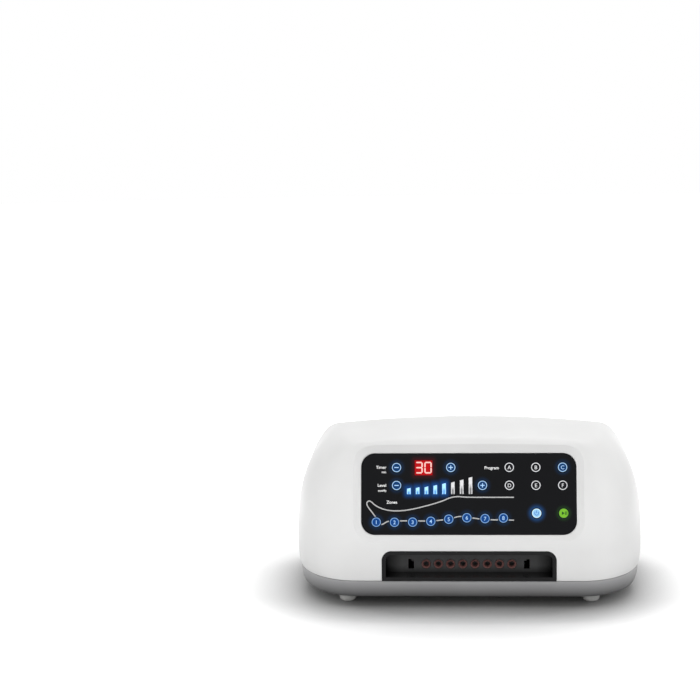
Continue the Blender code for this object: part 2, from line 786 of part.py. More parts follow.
def make_upper_shell():
    shell = add_piece("upper_shell", case_body(0.0, seam_top), white_shell)
    cavity = add_tool("case_cavity", case_body(CASE_WALL, seam_top - OVERRUN))
    boss_width = PANEL_WIDTH + 2 * PANEL_BOSS_MARGIN
    boss_height = PANEL_HEIGHT + 2 * PANEL_BOSS_MARGIN
    boss = panel_block(
        "panel_boss", None, (0, 0), (boss_width, boss_height), -OVERRUN, PANEL_BOSS_DEPTH
    )
    cut(cavity, boss)
    half_width = PLATE_WIDTH / 2 + PLATE_BOSS_MARGIN
    half_height = PLATE_HEIGHT / 2 + PLATE_BOSS_MARGIN
    build = put_block(
        bmesh.new(),
        (PLATE_OFFSET - half_width, back_plane - PLATE_BOSS_DEPTH, PLATE_CENTRE_HEIGHT - half_height),
        (PLATE_OFFSET + half_width, back_plane + OVERRUN, PLATE_CENTRE_HEIGHT + half_height),
    )
    cut(cavity, add_tool("plate_boss", build))
    build = bmesh.new()
    for x, y in post_places:
        put_rod(build, (x, y, 0), (x, y, CREST_HEIGHT + OVERRUN), POST_RADIUS, 12)
    cut(cavity, add_tool("case_posts", build))
    cut(shell, cavity)

    cut(shell, border_cutter())
    window = panel_block(
        "panel_window",
        None,
        (0, 0),
        (PANEL_WIDTH - 2 * PANEL_LEDGE, PANEL_HEIGHT - 2 * PANEL_LEDGE),
        PANEL_SET_IN,
        PANEL_BOSS_DEPTH + OVERRUN,
        PANEL_LEDGE,
    )
    cut(shell, window)

    half_bay = BAY_WIDTH / 2 + GAP
    build = put_block(
        bmesh.new(),
        (-half_bay, front_plane - OVERRUN, seam_top - OVERRUN),
        (half_bay, front_plane + OVERRUN, BAY_TOP_HEIGHT + GAP),
        BAY_CORNER + GAP,
        "Y",
        6,
        top_only=True,
    )
    cut(shell, add_tool("bay_cutout", build))

    half_width = PLATE_WIDTH / 2 + GAP
    half_height = PLATE_HEIGHT / 2 + GAP
    build = put_block(
        bmesh.new(),
        (PLATE_OFFSET - half_width, plate_back - GAP, PLATE_CENTRE_HEIGHT - half_height),
        (PLATE_OFFSET + half_width, back_plane + OVERRUN, PLATE_CENTRE_HEIGHT + half_height),
        PLATE_CORNER + GAP,
        "Y",
    )
    cut(shell, add_tool("plate_pocket", build))
    half_width = PLATE_WIDTH / 2 - PLATE_LEDGE
    half_height = PLATE_HEIGHT / 2 - PLATE_LEDGE
    build = put_block(
        bmesh.new(),
        (PLATE_OFFSET - half_width, plate_back - OVERRUN, PLATE_CENTRE_HEIGHT - half_height),
        (PLATE_OFFSET + half_width, back_plane, PLATE_CENTRE_HEIGHT + half_height),
    )
    cut(shell, add_tool("plate_window", build))

    build = bmesh.new()
    for x, y in post_places:
        put_rod(
            build, (x, y, 0), (x, y, seam_top + SCREW_REACH + GAP), SCREW_SHANK_RADIUS + GAP, 12
        )
    cut(shell, add_tool("screw_pilots", build))
    return shell


# Lower shell


def base_ring(height_share, inset):
    """The lower shell's outline at a share of its depth below the seam."""
    drop = (SEAM_HEIGHT - BASE_HEIGHT - inset) * height_share
    round_in = BASE_ROUND * (1 - math.sqrt(1 - height_share**2))
    outline = case_outline(SEAM_HEIGHT, inset + round_in)
    return [(x, y, SEAM_HEIGHT - drop) for x, y in outline]


def make_lower_shell():
    rings = [base_ring(share, 0.0) for share in BASE_ROW_SHARES]
    build, _ = loft(rings, close_top=True)
    settle(build)
    shell = add_piece("lower_shell", build, grey_shell)
    rings = [base_ring(share, BASE_WALL) for share in BASE_ROW_SHARES]
    rings.append([(x, y, z + OVERRUN) for x, y, z in rings[-1]])
    build, _ = loft(rings, close_top=True)
    settle(build)
    cavity = add_tool("base_cavity", build)

    build = bmesh.new()
    for x, y in post_places:
        put_rod(build, (x, y, 0), (x, y, SEAM_HEIGHT), BOSS_RADIUS, 14)
    for x, y in standoff_places:
        put_rod(build, (x, y, 0), (x, y, MAIN_BOARD_HEIGHT - GAP), STANDOFF_RADIUS, 10)
    cut(cavity, add_tool("base_posts", build))
    cut(shell, cavity)
    build = bmesh.new()
    for side in (-1, 1):
        x = side * (manifold_width / 2 - MANIFOLD_POST_INSET)
        foot = (x, manifold_middle, floor_top - BASE_WALL / 2)
        head = (x, manifold_middle, OUTLET_HEIGHT - MANIFOLD_HEIGHT / 2 - GAP)
        put_rod(build, foot, head, MANIFOLD_POST_RADIUS, 12)
    join(shell, add_tool("manifold_posts", build))

    build = bmesh.new()
    for x, y in post_places:
        put_rod(build, (x, y, 0), (x, y, SEAM_HEIGHT + OVERRUN), SCREW_SHANK_RADIUS + GAP, 12)
    cut(shell, add_tool("screw_holes", build))
    build = bmesh.new()
    for x, y in post_places:
        seat = BASE_HEIGHT + SCREW_HEAD_SEAT + GAP
        put_rod(build, (x, y, 0), (x, y, seat), SCREW_HEAD_RADIUS + GAP, 16)
    cut(shell, add_tool("screw_head_seats", build))
    build = bmesh.new()
    for x, y in foot_spots():
        seat = BASE_HEIGHT + FOOT_SEAT_DEPTH + GAP
        put_rod(build, (x, y, -OVERRUN), (x, y, seat), FOOT_RADIUS + GAP, 24)
    cut(shell, add_tool("foot_seats", build))
    build = bmesh.new()
    for step in range(VENT_COUNT):
        y = compressor_y + VENT_PITCH * (step - (VENT_COUNT - 1) / 2)
        put_block(
            build,
            (compressor_x - VENT_LENGTH / 2, y - VENT_WIDTH / 2, 0),
            (compressor_x + VENT_LENGTH / 2, y + VENT_WIDTH / 2, floor_top + OVERRUN),
        )
    cut(shell, add_tool("floor_vents", build))
    return shell


def foot_spots():
    across = CASE_WIDTH / 2 - FOOT_SIDE_INSET
    along = CASE_DEPTH / 2 - FOOT_END_INSET
    return [(side * across, end * along) for side, end in foot_places.values()]


def make_feet():
    top = BASE_HEIGHT + FOOT_SEAT_DEPTH
    eased = FOOT_CHAMFER * FOOT_CHAMFER_SHARE
    profile = [
        (0, top),
        (FOOT_RADIUS, top),
        (FOOT_RADIUS, FOOT_CHAMFER),
        (FOOT_RADIUS - eased, eased),
        (FOOT_RADIUS - FOOT_CHAMFER, 0),
        (0, 0),
    ]
    for name, (x, y) in zip(foot_places, foot_spots()):
        add_turned(name, pale_rubber, profile, 24, (x, y, 0))


def make_case_screws():
    head_top = BASE_HEIGHT + SCREW_HEAD_SEAT
    head_bottom = head_top - SCREW_HEAD_HEIGHT
    tip = seam_top + SCREW_REACH
    profile = [
        (0, tip),
        (SCREW_SHANK_RADIUS, tip),
        (SCREW_SHANK_RADIUS, head_top),
        (SCREW_HEAD_RADIUS, head_top),
        (SCREW_HEAD_RADIUS, head_bottom),
        (0, head_bottom),
    ]
    names = ("front_left", "front_right", "rear_left", "rear_right")
    for name, (x, y) in zip(names, post_places):
        add_turned(f"case_screw_{name}", steel, profile, 12, (x, y, 0))


# Control panel and what shows through it


def bar_outline(step, grow):
    """One pressure bar's left, right, bottom and its two top heights, in the panel's frame."""
    first_x, bottom = on_panel(BAR_PLACE_SHARES)
    middle = first_x + BAR_PITCH * step
    tall = BAR_TALLEST * BAR_HEIGHT_SHARES[step]
    left = middle - BAR_WIDTH / 2 - grow
    right = middle + BAR_WIDTH / 2 + grow
    return left, right, bottom - grow, bottom + tall - BAR_SLANT + grow, bottom + tall + grow


def put_bars(build, grow, front, back):
    for step in range(len(BAR_HEIGHT_SHARES)):
        left, right, bottom, low_top, high_top = bar_outline(step, grow)
        made = bmesh.ops.create_cube(build, size=1)
        for vertex in made["verts"]:
            on_left = vertex.co.x < 0
            top = low_top if on_left else high_top
            vertex.co = (
                left if on_left else right,
                bottom if vertex.co.y < 0 else top,
                -back if vertex.co.z < 0 else -front,
            )
    return build


def make_panel():
    panel = panel_block(
        "control_panel",
        black_gloss,
        (0, 0),
        (PANEL_WIDTH, PANEL_HEIGHT),
        PANEL_SET_IN,
        panel_back,
        PANEL_CORNER,
    )
    build = bmesh.new()
    for shares in KEY_PLACE_SHARES.values():
        x, y = on_panel(shares)
        put_rod(build, (x, y, 0), (x, y, -PANEL_BOSS_DEPTH), KEY_RADIUS + GAP, KEY_SIDES)
    cut(panel, add_tool("key_holes", build, panel_frame))
    build = put_bars(bmesh.new(), GAP, 0, PANEL_BOSS_DEPTH)
    cut(panel, add_tool("bar_slots", build, panel_frame))
    window = panel_block(
        "display_window",
        None,
        on_panel(DISPLAY_PLACE_SHARES),
        (DISPLAY_WIDTH + 2 * GAP, DISPLAY_HEIGHT + 2 * GAP),
        0,
        PANEL_BOSS_DEPTH,
    )
    cut(panel, window)


def make_keys():
    finishes = {"power_button": key_pale, "start_button": key_green}
    dark = {f"mode_{letter}_button" for letter in "abdef"}
    for name, shares in KEY_PLACE_SHARES.items():
        x, y = on_panel(shares)
        flange_front = panel_back + GAP
        face = PANEL_SET_IN - KEY_PROUD
        profile = [
            (0, -face),
            (KEY_RADIUS, -face),
            (KEY_RADIUS, -flange_front),
            (KEY_FLANGE_RADIUS, -flange_front),
            (KEY_FLANGE_RADIUS, -key_back),
            (0, -key_back),
        ]
        finish = finishes.get(name, key_dark if name in dark else key_blue)
        key = add_turned(name, finish, profile, KEY_SIDES, (x, y, 0))
        key.parent = panel_frame


def make_display():
    panel_block(
        "time_display",
        digit_red,
        on_panel(DISPLAY_PLACE_SHARES),
        (DISPLAY_WIDTH, DISPLAY_HEIGHT),
        PANEL_SET_IN + FACE_SET_IN,
        display_board_face - GAP,
    )
    first_x, bottom = on_panel(BAR_PLACE_SHARES)
    last_x = first_x + BAR_PITCH * (len(BAR_HEIGHT_SHARES) - 1)
    guide_front = panel_back + GAP
    guide_back = guide_front + GUIDE_THICKNESS
    build = put_block(
        bmesh.new(),
        (first_x - BAR_WIDTH / 2 - GUIDE_MARGIN, bottom - GUIDE_MARGIN, -guide_back),
        (last_x + BAR_WIDTH / 2 + GUIDE_MARGIN, bottom + BAR_TALLEST + GUIDE_MARGIN, -guide_front),
    )
    guide = add_piece("bar_light_guide", build, clear_tube, panel_frame)
    build = put_bars(bmesh.new(), 0, PANEL_SET_IN + FACE_SET_IN, guide_front + GUIDE_THICKNESS / 2)
    join(guide, add_tool("guide_bars", build, panel_frame))

    x, y = on_panel(RECEIVER_PLACE_SHARES)
    body_front = display_board_face - GAP - RECEIVER_BODY_DEPTH
    build = put_block(
        bmesh.new(),
        (x - RECEIVER_WIDTH / 2, y - RECEIVER_HEIGHT / 2, GAP - display_board_face),
        (x + RECEIVER_WIDTH / 2, y + RECEIVER_HEIGHT / 2, -body_front),
    )
    receiver = add_piece("remote_receiver", build, key_dark, panel_frame)
    build = put_rod(
        bmesh.new(),
        (x, y, -body_front - RECEIVER_BODY_DEPTH / 2),
        (x, y, RECEIVER_LENS_RISE - body_front),
        RECEIVER_LENS_RADIUS,
        12,
    )
    join(receiver, add_tool("receiver_lens", build, panel_frame))


def make_display_board():
    board = panel_block(
        "display_board",
        board_green,
        (0, 0),
        (PANEL_WIDTH + 2 * DISPLAY_BOARD_MARGIN, PANEL_HEIGHT + 2 * DISPLAY_BOARD_MARGIN),
        display_board_face,
        display_board_face + BOARD_THICKNESS,
        PANEL_CORNER,
    )
    build = bmesh.new()
    for shares in KEY_PLACE_SHARES.values():
        x, y = on_panel(shares)
        half = KEY_SWITCH_SIDE / 2
        low = (x - half, y - half, -display_board_face - SOLDER_SINK)
        put_block(build, low, (x + half, y + half, switch_rise - display_board_face))
    join(board, add_tool("key_switches", build, panel_frame))


# Port bay, outlets and tubing


def make_port_bay():
    half = BAY_WIDTH / 2
    build = put_block(
        bmesh.new(),
        (-half, bay_front, seam_top),
        (half, bay_back, BAY_TOP_HEIGHT),
        BAY_CORNER,
        "Y",
        6,
        top_only=True,
    )
    bay = add_piece("port_bay", build, bay_black)
    build = put_block(
        bmesh.new(),
        (BAY_WALL - half, bay_front - OVERRUN, seam_top + BAY_WALL),
        (half - BAY_WALL, bay_back - BAY_BACK_WALL, BAY_TOP_HEIGHT - BAY_WALL),
        BAY_CORNER - BAY_WALL,
        "Y",
        5,
        top_only=True,
    )
    cut(bay, add_tool("bay_hollow", build))
    build = bmesh.new()
    for x in outlet_places:
        put_rod(
            build,
            (x, bay_back - BAY_BACK_WALL - OVERRUN, OUTLET_HEIGHT),
            (x, bay_back + OVERRUN, OUTLET_HEIGHT),
            COLLAR_RADIUS + GAP,
            OUTLET_SIDES,
        )
    cut(bay, add_tool("outlet_holes", build))
    build = bmesh.new()
    slot_bottom = OUTLET_HEIGHT - LATCH_HEIGHT / 2
    slot_top = OUTLET_HEIGHT + LATCH_HEIGHT / 2
    for side in (-1, 1):
        x = side * LATCH_OFFSET
        half_slot = LATCH_WIDTH / 2
        put_block(
            build,
            (x - half_slot, bay_back - BAY_DEPTH / 2, slot_bottom),
            (x + half_slot, bay_back + OVERRUN, slot_top - LATCH_NOTCH_HEIGHT),
        )
    cut(bay, add_tool("latch_slots", build))
    build = bmesh.new()
    for side in (-1, 1):
        edges = sorted(
            (
                side * (LATCH_OFFSET + LATCH_WIDTH / 2),
                side * (LATCH_OFFSET - LATCH_WIDTH / 2 + LATCH_NOTCH_WIDTH),
            )
        )
        put_block(
            build,
            (edges[0], bay_back - BAY_DEPTH / 2, slot_bottom + LATCH_NOTCH_HEIGHT),
            (edges[1], bay_back + OVERRUN, slot_top),
        )
    cut(bay, add_tool("latch_slot_tops", build))


def put_outlet_rods(build, start, end, radius, sides):
    for x in outlet_places:
        put_rod(build, (x, start, OUTLET_HEIGHT), (x, end, OUTLET_HEIGHT), radius, sides)
    return build


def make_outlets():
    half = OUTLET_PITCH * (OUTLET_COUNT - 1) / 2 + COLLAR_RADIUS + GASKET_END_MARGIN
    build = put_block(
        bmesh.new(),
        (-half, gasket_front, OUTLET_HEIGHT - GASKET_HEIGHT / 2),
        (half, gasket_back, OUTLET_HEIGHT + GASKET_HEIGHT / 2),
    )
    gasket = add_piece("outlet_gasket", build, seal_red)
    collar_front = bay_back - BAY_BACK_WALL - COLLAR_PROUD
    build = put_outlet_rods(
        bmesh.new(),
        collar_front,
        gasket_front + GASKET_THICKNESS / 2,
        COLLAR_RADIUS,
        OUTLET_SIDES,
    )
    join(gasket, add_tool("gasket_collars", build))
    build = put_outlet_rods(
        bmesh.new(), collar_front - OVERRUN, gasket_back + OVERRUN, OUTLET_BORE_RADIUS, 12
    )
    cut(gasket, add_tool("gasket_bores", build))

    build = put_block(
        bmesh.new(),
        (-half, block_front, OUTLET_HEIGHT - BLOCK_HEIGHT / 2),
        (half, block_back, OUTLET_HEIGHT + BLOCK_HEIGHT / 2),
    )
    block = add_piece("outlet_block", build, grey_plastic)
    build = put_outlet_rods(
        bmesh.new(), block_back - BLOCK_DEPTH / 4, block_back + NOZZLE_LENGTH, NOZZLE_RADIUS, NOZZLE_SIDES
    )
    join(block, add_tool("block_nozzles", build))
    build = put_outlet_rods(
        bmesh.new(),
        block_front - OVERRUN,
        block_front + BLOCK_BORE_DEPTH,
        OUTLET_BORE_RADIUS,
        12,
    )
    cut(block, add_tool("block_bores", build))

    half = OUTLET_PITCH * (OUTLET_COUNT - 1) / 2
    build = put_block(
        bmesh.new(),
        (-half, tube_start, OUTLET_HEIGHT - WEB_THICKNESS / 2),
        (half, tube_end, OUTLET_HEIGHT + WEB_THICKNESS / 2),
    )
    tubes = add_piece("chamber_tubes", build, clear_tube)
    build = put_outlet_rods(bmesh.new(), tube_start, tube_end, TUBE_RADIUS, 12)
    join(tubes, add_tool("tube_runs", build))


def make_valves():
    half = manifold_width / 2
    build = put_block(
        bmesh.new(),
        (-half, manifold_front, OUTLET_HEIGHT - MANIFOLD_HEIGHT / 2),
        (half, manifold_back, manifold_top),
    )
    manifold = add_piece("valve_manifold", build, grey_plastic)
    build = put_outlet_rods(
        bmesh.new(),
        manifold_front - NOZZLE_LENGTH,
        manifold_front + MANIFOLD_DEPTH / 4,
        NOZZLE_RADIUS,
        NOZZLE_SIDES,
    )
    put_rod(
        build,
        (-half - MANIFOLD_NOZZLE_LENGTH, manifold_middle, OUTLET_HEIGHT),
        (MANIFOLD_POST_RADIUS - half, manifold_middle, OUTLET_HEIGHT),
        NOZZLE_RADIUS,
        NOZZLE_SIDES,
    )
    join(manifold, add_tool("manifold_nozzles", build))

    yoke_bottom = manifold_top + GAP
    yoke_top = yoke_bottom + YOKE_THICKNESS
    build = put_block(
        bmesh.new(), (-half, manifold_front, yoke_bottom), (half, manifold_back, yoke_top)
    )
    coils = add_piece("valve_solenoids", build, steel)
    build = bmesh.new()
    for x in outlet_places:
        put_block(
            build,
            (x - COIL_WIDTH / 2, manifold_middle - COIL_DEPTH / 2, yoke_top - COIL_SINK),
            (x + COIL_WIDTH / 2, manifold_middle + COIL_DEPTH / 2, yoke_top + COIL_HEIGHT),
        )
    join(coils, add_tool("coil_cores", build))


# Compressor and its mounts


def make_compressor():
    half = compressor_length / 2
    low_y = compressor_y - COMPRESSOR_DEPTH / 2
    high_y = compressor_y + COMPRESSOR_DEPTH / 2
    build = put_block(
        bmesh.new(),
        (compressor_x - half, low_y, compressor_bottom),
        (compressor_x + half, high_y, compressor_top),
        COMPRESSOR_ROUND,
        "X",
    )
    body = add_piece("compressor_body", build, cast_metal)
    nozzle_base = (compressor_x, compressor_y, compressor_top - COMPRESSOR_ROUND)
    nozzle_end = (compressor_x, compressor_y, compressor_top + AIR_NOZZLE_LENGTH)
    build = put_rod(bmesh.new(), nozzle_base, nozzle_end, NOZZLE_RADIUS, NOZZLE_SIDES)
    join(body, add_tool("air_nozzle", build))

    middle_height = compressor_bottom + COMPRESSOR_HEIGHT / 2
    for name, side in (("compressor_head_left", -1), ("compressor_head_right", 1)):
        near = compressor_x + side * (half + GAP)
        far = near + side * HEAD_LENGTH
        build = put_block(
            bmesh.new(),
            (min(near, far), compressor_y - HEAD_DEPTH / 2, middle_height - HEAD_HEIGHT / 2),
            (max(near, far), compressor_y + HEAD_DEPTH / 2, middle_height + HEAD_HEIGHT / 2),
            HEAD_ROUND,
            "X",
        )
        add_piece(name, build, cast_metal)

    bottom = floor_top + GAP
    top = bottom + MOUNT_HEIGHT
    third = MOUNT_HEIGHT / 3
    profile = [
        (0, top),
        (MOUNT_RADIUS, top),
        (MOUNT_RADIUS, top - third),
        (MOUNT_WAIST_RADIUS, top - MOUNT_HEIGHT / 2),
        (MOUNT_RADIUS, bottom + third),
        (MOUNT_RADIUS, bottom),
        (0, bottom),
    ]
    spots = {
        "compressor_mount_front_left": (-1, -1),
        "compressor_mount_front_right": (1, -1),
        "compressor_mount_rear_left": (-1, 1),
        "compressor_mount_rear_right": (1, 1),
    }
    for name, (side, end) in spots.items():
        x = compressor_x + side * (half - MOUNT_INSET)
        y = compressor_y + end * (COMPRESSOR_DEPTH / 2 - MOUNT_INSET)
        add_turned(name, dark_rubber, profile, 16, (x, y, 0))

    start = Vector((compressor_x, compressor_y, compressor_top + AIR_NOZZLE_LENGTH + GAP))
    end = Vector(
        (-manifold_width / 2 - MANIFOLD_NOZZLE_LENGTH - GAP, manifold_middle, OUTLET_HEIGHT)
    )
    up = Vector((0, 0, SUPPLY_TUBE_RISE))
    out = Vector((-SUPPLY_TUBE_SWING, 0, 0))
    high = start + up
    turn = end + out
    knots = [
        start,
        start + up / 2,
        high.lerp(turn, SUPPLY_RISE_SHARE) + up / 2,
        high.lerp(turn, SUPPLY_FALL_SHARE) + up + out / 2,
        turn.lerp(high, SUPPLY_TURN_SHARE) + up / 3,
        end + out / 3,
        end,
    ]
    add_tube("supply_tube", clear_tube, knots, SUPPLY_TUBE_RADIUS)


# Electronics


def make_electronics():
    half_x = main_board_width / 2
    left_edge = main_board_x - half_x
    board = add_block(
        "main_board",
        board_green,
        (left_edge, main_board_front, MAIN_BOARD_HEIGHT),
        (main_board_x + half_x, main_board_back, main_board_top),
    )
    build = bmesh.new()
    sunk = main_board_top - SOLDER_SINK
    for step in range(2):
        x = left_edge + CAPACITOR_EDGE + capacitor_pitch * step
        y = main_board_front + CAPACITOR_EDGE
        put_rod(build, (x, y, sunk), (x, y, main_board_top + CAPACITOR_HEIGHT), CAPACITOR_RADIUS, 16)
    sink_x = main_board_x - HEAT_SINK_WIDTH
    put_block(
        build,
        (sink_x, heat_sink_start, sunk),
        (sink_x + HEAT_SINK_WIDTH, heat_sink_end, main_board_top + HEAT_SINK_HEIGHT),
    )
    connector_x = sink_x + HEAT_SINK_WIDTH + CONNECTOR_GAP
    connector_y = main_board_front + CONNECTOR_EDGE
    put_block(
        build,
        (connector_x, connector_y, sunk),
        (
            connector_x + CONNECTOR_WIDTH,
            connector_y + CONNECTOR_DEPTH,
            main_board_top + CONNECTOR_HEIGHT,
        ),
    )
    join(board, add_tool("board_parts", build))

    low_x = main_board_x + half_x - TRANSFORMER_EDGE - transformer_width
    high_y = main_board_back - TRANSFORMER_EDGE
    base = main_board_top + GAP
    build = put_block(
        bmesh.new(),
        (low_x, high_y - transformer_depth, base),
        (low_x + transformer_width, high_y, base + TRANSFORMER_HEIGHT),
    )
    transformer = add_piece("power_transformer", build, steel)
    middle = base + TRANSFORMER_HEIGHT / 2
    build = put_block(
        bmesh.new(),
        (
            low_x + TRANSFORMER_EDGE,
            high_y - transformer_depth - WINDING_SWELL,
            middle - WINDING_HEIGHT / 2,
        ),
        (
            low_x + transformer_width - TRANSFORMER_EDGE,
            high_y + WINDING_SWELL,
            middle + WINDING_HEIGHT / 2,
        ),
        WINDING_SWELL,
        "Z",
    )
    join(transformer, add_tool("windings", build))

    ribbon_x = connector_x + CONNECTOR_WIDTH / 2
    board_back = panel_frame_point(0, -PANEL_HEIGHT / 4, display_board_face + BOARD_THICKNESS + GAP)
    socket = Vector(
        (0, connector_y + CONNECTOR_DEPTH / 2, main_board_top + CONNECTOR_HEIGHT + GAP)
    )
    build = bmesh.new()
    rows = []
    for reach, drop in zip(RIBBON_REACH_SHARES, RIBBON_DROP_SHARES):
        y = board_back.y + (socket.y - board_back.y) * reach
        z = board_back.z + (socket.z + RIBBON_THICKNESS / 2 - board_back.z) * drop
        rows.append(
            [
                build.verts.new((ribbon_x + side * RIBBON_WIDTH / 2, y + RIBBON_THICKNESS, z))
                for side in (-1, 1)
            ]
        )
    for first, second in zip(rows, rows[1:]):
        build.faces.new((first[0], first[1], second[1], second[0]))
    ribbon = add_piece("ribbon_cable", build, ribbon_grey)
    shell = ribbon.modifiers.new("thickness", "SOLIDIFY")
    shell.thickness = RIBBON_THICKNESS
    shell.offset = 0


def panel_frame_point(x, y, depth):
    """A point given in the panel's frame, in the object's own."""
    turn = Matrix.Rotation(math.pi / 2 - LEAN, 4, "X")
    return panel_frame.location + turn @ Vector((x, y, -depth))


# Rear plate, mains inlet and power rocker


def rear_block(build, middle_x, width, height, front, back, corner=0.0):
    """A block through the rear plate, between two places along Y."""
    middle_z = PLATE_CENTRE_HEIGHT
    low = (middle_x - width / 2, front, middle_z - height / 2)
    high = (middle_x + width / 2, back, middle_z + height / 2)
    return put_block(build, low, high, corner, "Y")


def make_rear():
    inlet_x = PLATE_OFFSET + INLET_OFFSET
    switch_x = PLATE_OFFSET - SWITCH_OFFSET
    build = rear_block(
        bmesh.new(), PLATE_OFFSET, PLATE_WIDTH, PLATE_HEIGHT, plate_back, plate_face, PLATE_CORNER
    )
    plate = add_piece("rear_plate", build, grey_plastic)
    holes = bmesh.new()
    for x, width, height in (
        (inlet_x, INLET_WIDTH, INLET_HEIGHT),
        (switch_x, SWITCH_WIDTH, SWITCH_HEIGHT),
    ):
        rear_block(
            holes, x, width + 2 * GAP, height + 2 * GAP, plate_back - OVERRUN, back_plane
        )
    cut(plate, add_tool("plate_holes", holes))

    flange_front = plate_face + GAP
    flange_back = flange_front + FLANGE_THICKNESS
    inlet = add_piece(
        "mains_inlet",
        rear_block(
            bmesh.new(),
            inlet_x,
            INLET_WIDTH + 2 * FLANGE_OVERLAP,
            INLET_HEIGHT + 2 * FLANGE_OVERLAP,
            flange_front,
            flange_back,
            FLANGE_OVERLAP,
        ),
        dark_rubber,
    )
    build = rear_block(
        bmesh.new(),
        inlet_x,
        INLET_WIDTH,
        INLET_HEIGHT,
        flange_back - INLET_DEPTH,
        flange_front + FLANGE_THICKNESS / 2,
    )
    join(inlet, add_tool("inlet_body", build))
    socket_floor = flange_back - INLET_SOCKET_DEPTH
    build = rear_block(
        bmesh.new(),
        inlet_x,
        INLET_SOCKET_WIDTH,
        INLET_SOCKET_HEIGHT,
        socket_floor,
        back_plane + OVERRUN,
        INLET_SOCKET_HEIGHT / 3,
    )
    cut(inlet, add_tool("inlet_socket", build))
    for name, side in (("inlet_pin_left", 1), ("inlet_pin_right", -1)):
        x = inlet_x + side * PIN_SPREAD / 2
        start = (x, socket_floor + GAP, PLATE_CENTRE_HEIGHT)
        end = (x, socket_floor + PIN_LENGTH, PLATE_CENTRE_HEIGHT)
        add_piece(name, put_rod(bmesh.new(), start, end, PIN_RADIUS, 12), steel)

    frame = add_piece(
        "switch_frame",
        rear_block(
            bmesh.new(),
            switch_x,
            SWITCH_WIDTH + 2 * FLANGE_OVERLAP,
            SWITCH_HEIGHT + 2 * FLANGE_OVERLAP,
            flange_front,
            flange_back,
        ),
        dark_rubber,
    )
    build = rear_block(
        bmesh.new(),
        switch_x,
        SWITCH_WIDTH,
        SWITCH_HEIGHT,
        flange_back - SWITCH_DEPTH,
        flange_front + FLANGE_THICKNESS / 2,
    )
    join(frame, add_tool("switch_body", build))
    build = rear_block(
        bmesh.new(),
        switch_x,
        SWITCH_WELL_WIDTH,
        SWITCH_WELL_HEIGHT,
        flange_back - SWITCH_WELL_DEPTH,
        back_plane + OVERRUN,
    )
    cut(frame, add_tool("switch_well", build))

    half_width = SWITCH_WELL_WIDTH / 2 - GAP
    section = [
        (ROCKER_TIP_RISE, ROCKER_HALF_LENGTH),
        (ROCKER_DIP_RISE, 0),
        (ROCKER_TIP_RISE, -ROCKER_HALF_LENGTH),
        (-ROCKER_HEEL, -ROCKER_HEEL),
        (-ROCKER_TAIL, 0),
        (-ROCKER_HEEL, ROCKER_HEEL),
    ]
    rings = [[(x, y, z) for y, z in section] for x in (-half_width, half_width)]
    build, _ = loft(rings, close_top=True)
    bmesh.ops.recalc_face_normals(build, faces=build.faces)
    pivot = (switch_x, flange_back - ROCKER_PIVOT_DEPTH, PLATE_CENTRE_HEIGHT)
    add_piece("rocker_switch", build, black_gloss, None, pivot, (ROCKER_TILT, 0, 0))

    start = Vector((inlet_x, flange_back - INLET_DEPTH - GAP, PLATE_CENTRE_HEIGHT))
    end = Vector(
        (
            main_board_x - main_board_width / 2 + CAPACITOR_EDGE,
            main_board_back - CAPACITOR_EDGE,
            main_board_top + LEAD_RADIUS + GAP,
        )
    )
    forward = Vector((0, -LEAD_CLEARANCE, 0))
    knots = [
        start,
        start + forward / 2,
        start.lerp(end, LEAD_CROSS_SHARE) + Vector((0, 0, LEAD_CLEARANCE)),
        end + Vector((0, 0, LEAD_CLEARANCE)),
        end,
    ]
    add_tube("mains_lead", dark_rubber, knots, LEAD_RADIUS)


make_upper_shell()
make_lower_shell()
make_feet()
make_case_screws()
make_panel()
make_keys()
make_display()
make_display_board()
make_port_bay()
make_outlets()
make_valves()
make_compressor()
make_electronics()
make_rear()
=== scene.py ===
"""Looks of the compression therapy pump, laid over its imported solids.

Metres, +Z up, the front faces -Y. Pieces on the leaning front are built in the panel's frame:
+X right, +Y up the slope, +Z outward, with its middle on the surface of the case.
"""

import math

import bmesh
import bpy
import numpy as np
from mathutils import Matrix, Vector


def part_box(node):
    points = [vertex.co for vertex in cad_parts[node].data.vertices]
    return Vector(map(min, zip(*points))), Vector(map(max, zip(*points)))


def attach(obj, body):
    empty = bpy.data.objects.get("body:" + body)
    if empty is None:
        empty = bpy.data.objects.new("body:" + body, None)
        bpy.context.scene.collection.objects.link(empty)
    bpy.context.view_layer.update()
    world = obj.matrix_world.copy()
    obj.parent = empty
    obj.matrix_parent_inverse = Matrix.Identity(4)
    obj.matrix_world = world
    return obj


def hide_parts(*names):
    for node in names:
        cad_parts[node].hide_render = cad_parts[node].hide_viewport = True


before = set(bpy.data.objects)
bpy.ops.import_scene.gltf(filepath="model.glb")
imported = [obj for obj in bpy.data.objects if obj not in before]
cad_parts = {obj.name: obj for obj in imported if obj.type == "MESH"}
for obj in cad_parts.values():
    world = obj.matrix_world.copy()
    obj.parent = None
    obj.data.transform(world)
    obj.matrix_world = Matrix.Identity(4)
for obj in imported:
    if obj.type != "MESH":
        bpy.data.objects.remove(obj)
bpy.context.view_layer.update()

# Case, as in the solids
GAP = 0.0003
OVERRUN = 0.010
CREST_HEIGHT = 0.155
CREST_SETBACK = 0.078
TOP_FRONT_RADIUS = 0.247
TOP_BACK_RADIUS = 0.300
CROWN_RADIUS = 1.200
SEAM_HEIGHT = 0.0243
WIDEST_HEIGHT = 0.040
TAPER_HEIGHT = 0.109
TAPER_POWER = 3.6
SIDE_TAPER = 0.0377
BACK_TAPER = 0.015
SIDE_TUCK = 0.0028
END_TUCK = 0.0015
FRONT_FLAT = 0.099
FRONT_CORNER_DEPTH = 0.080
BACK_CORNER = 0.050
SHOULDER_ROUND = 0.003
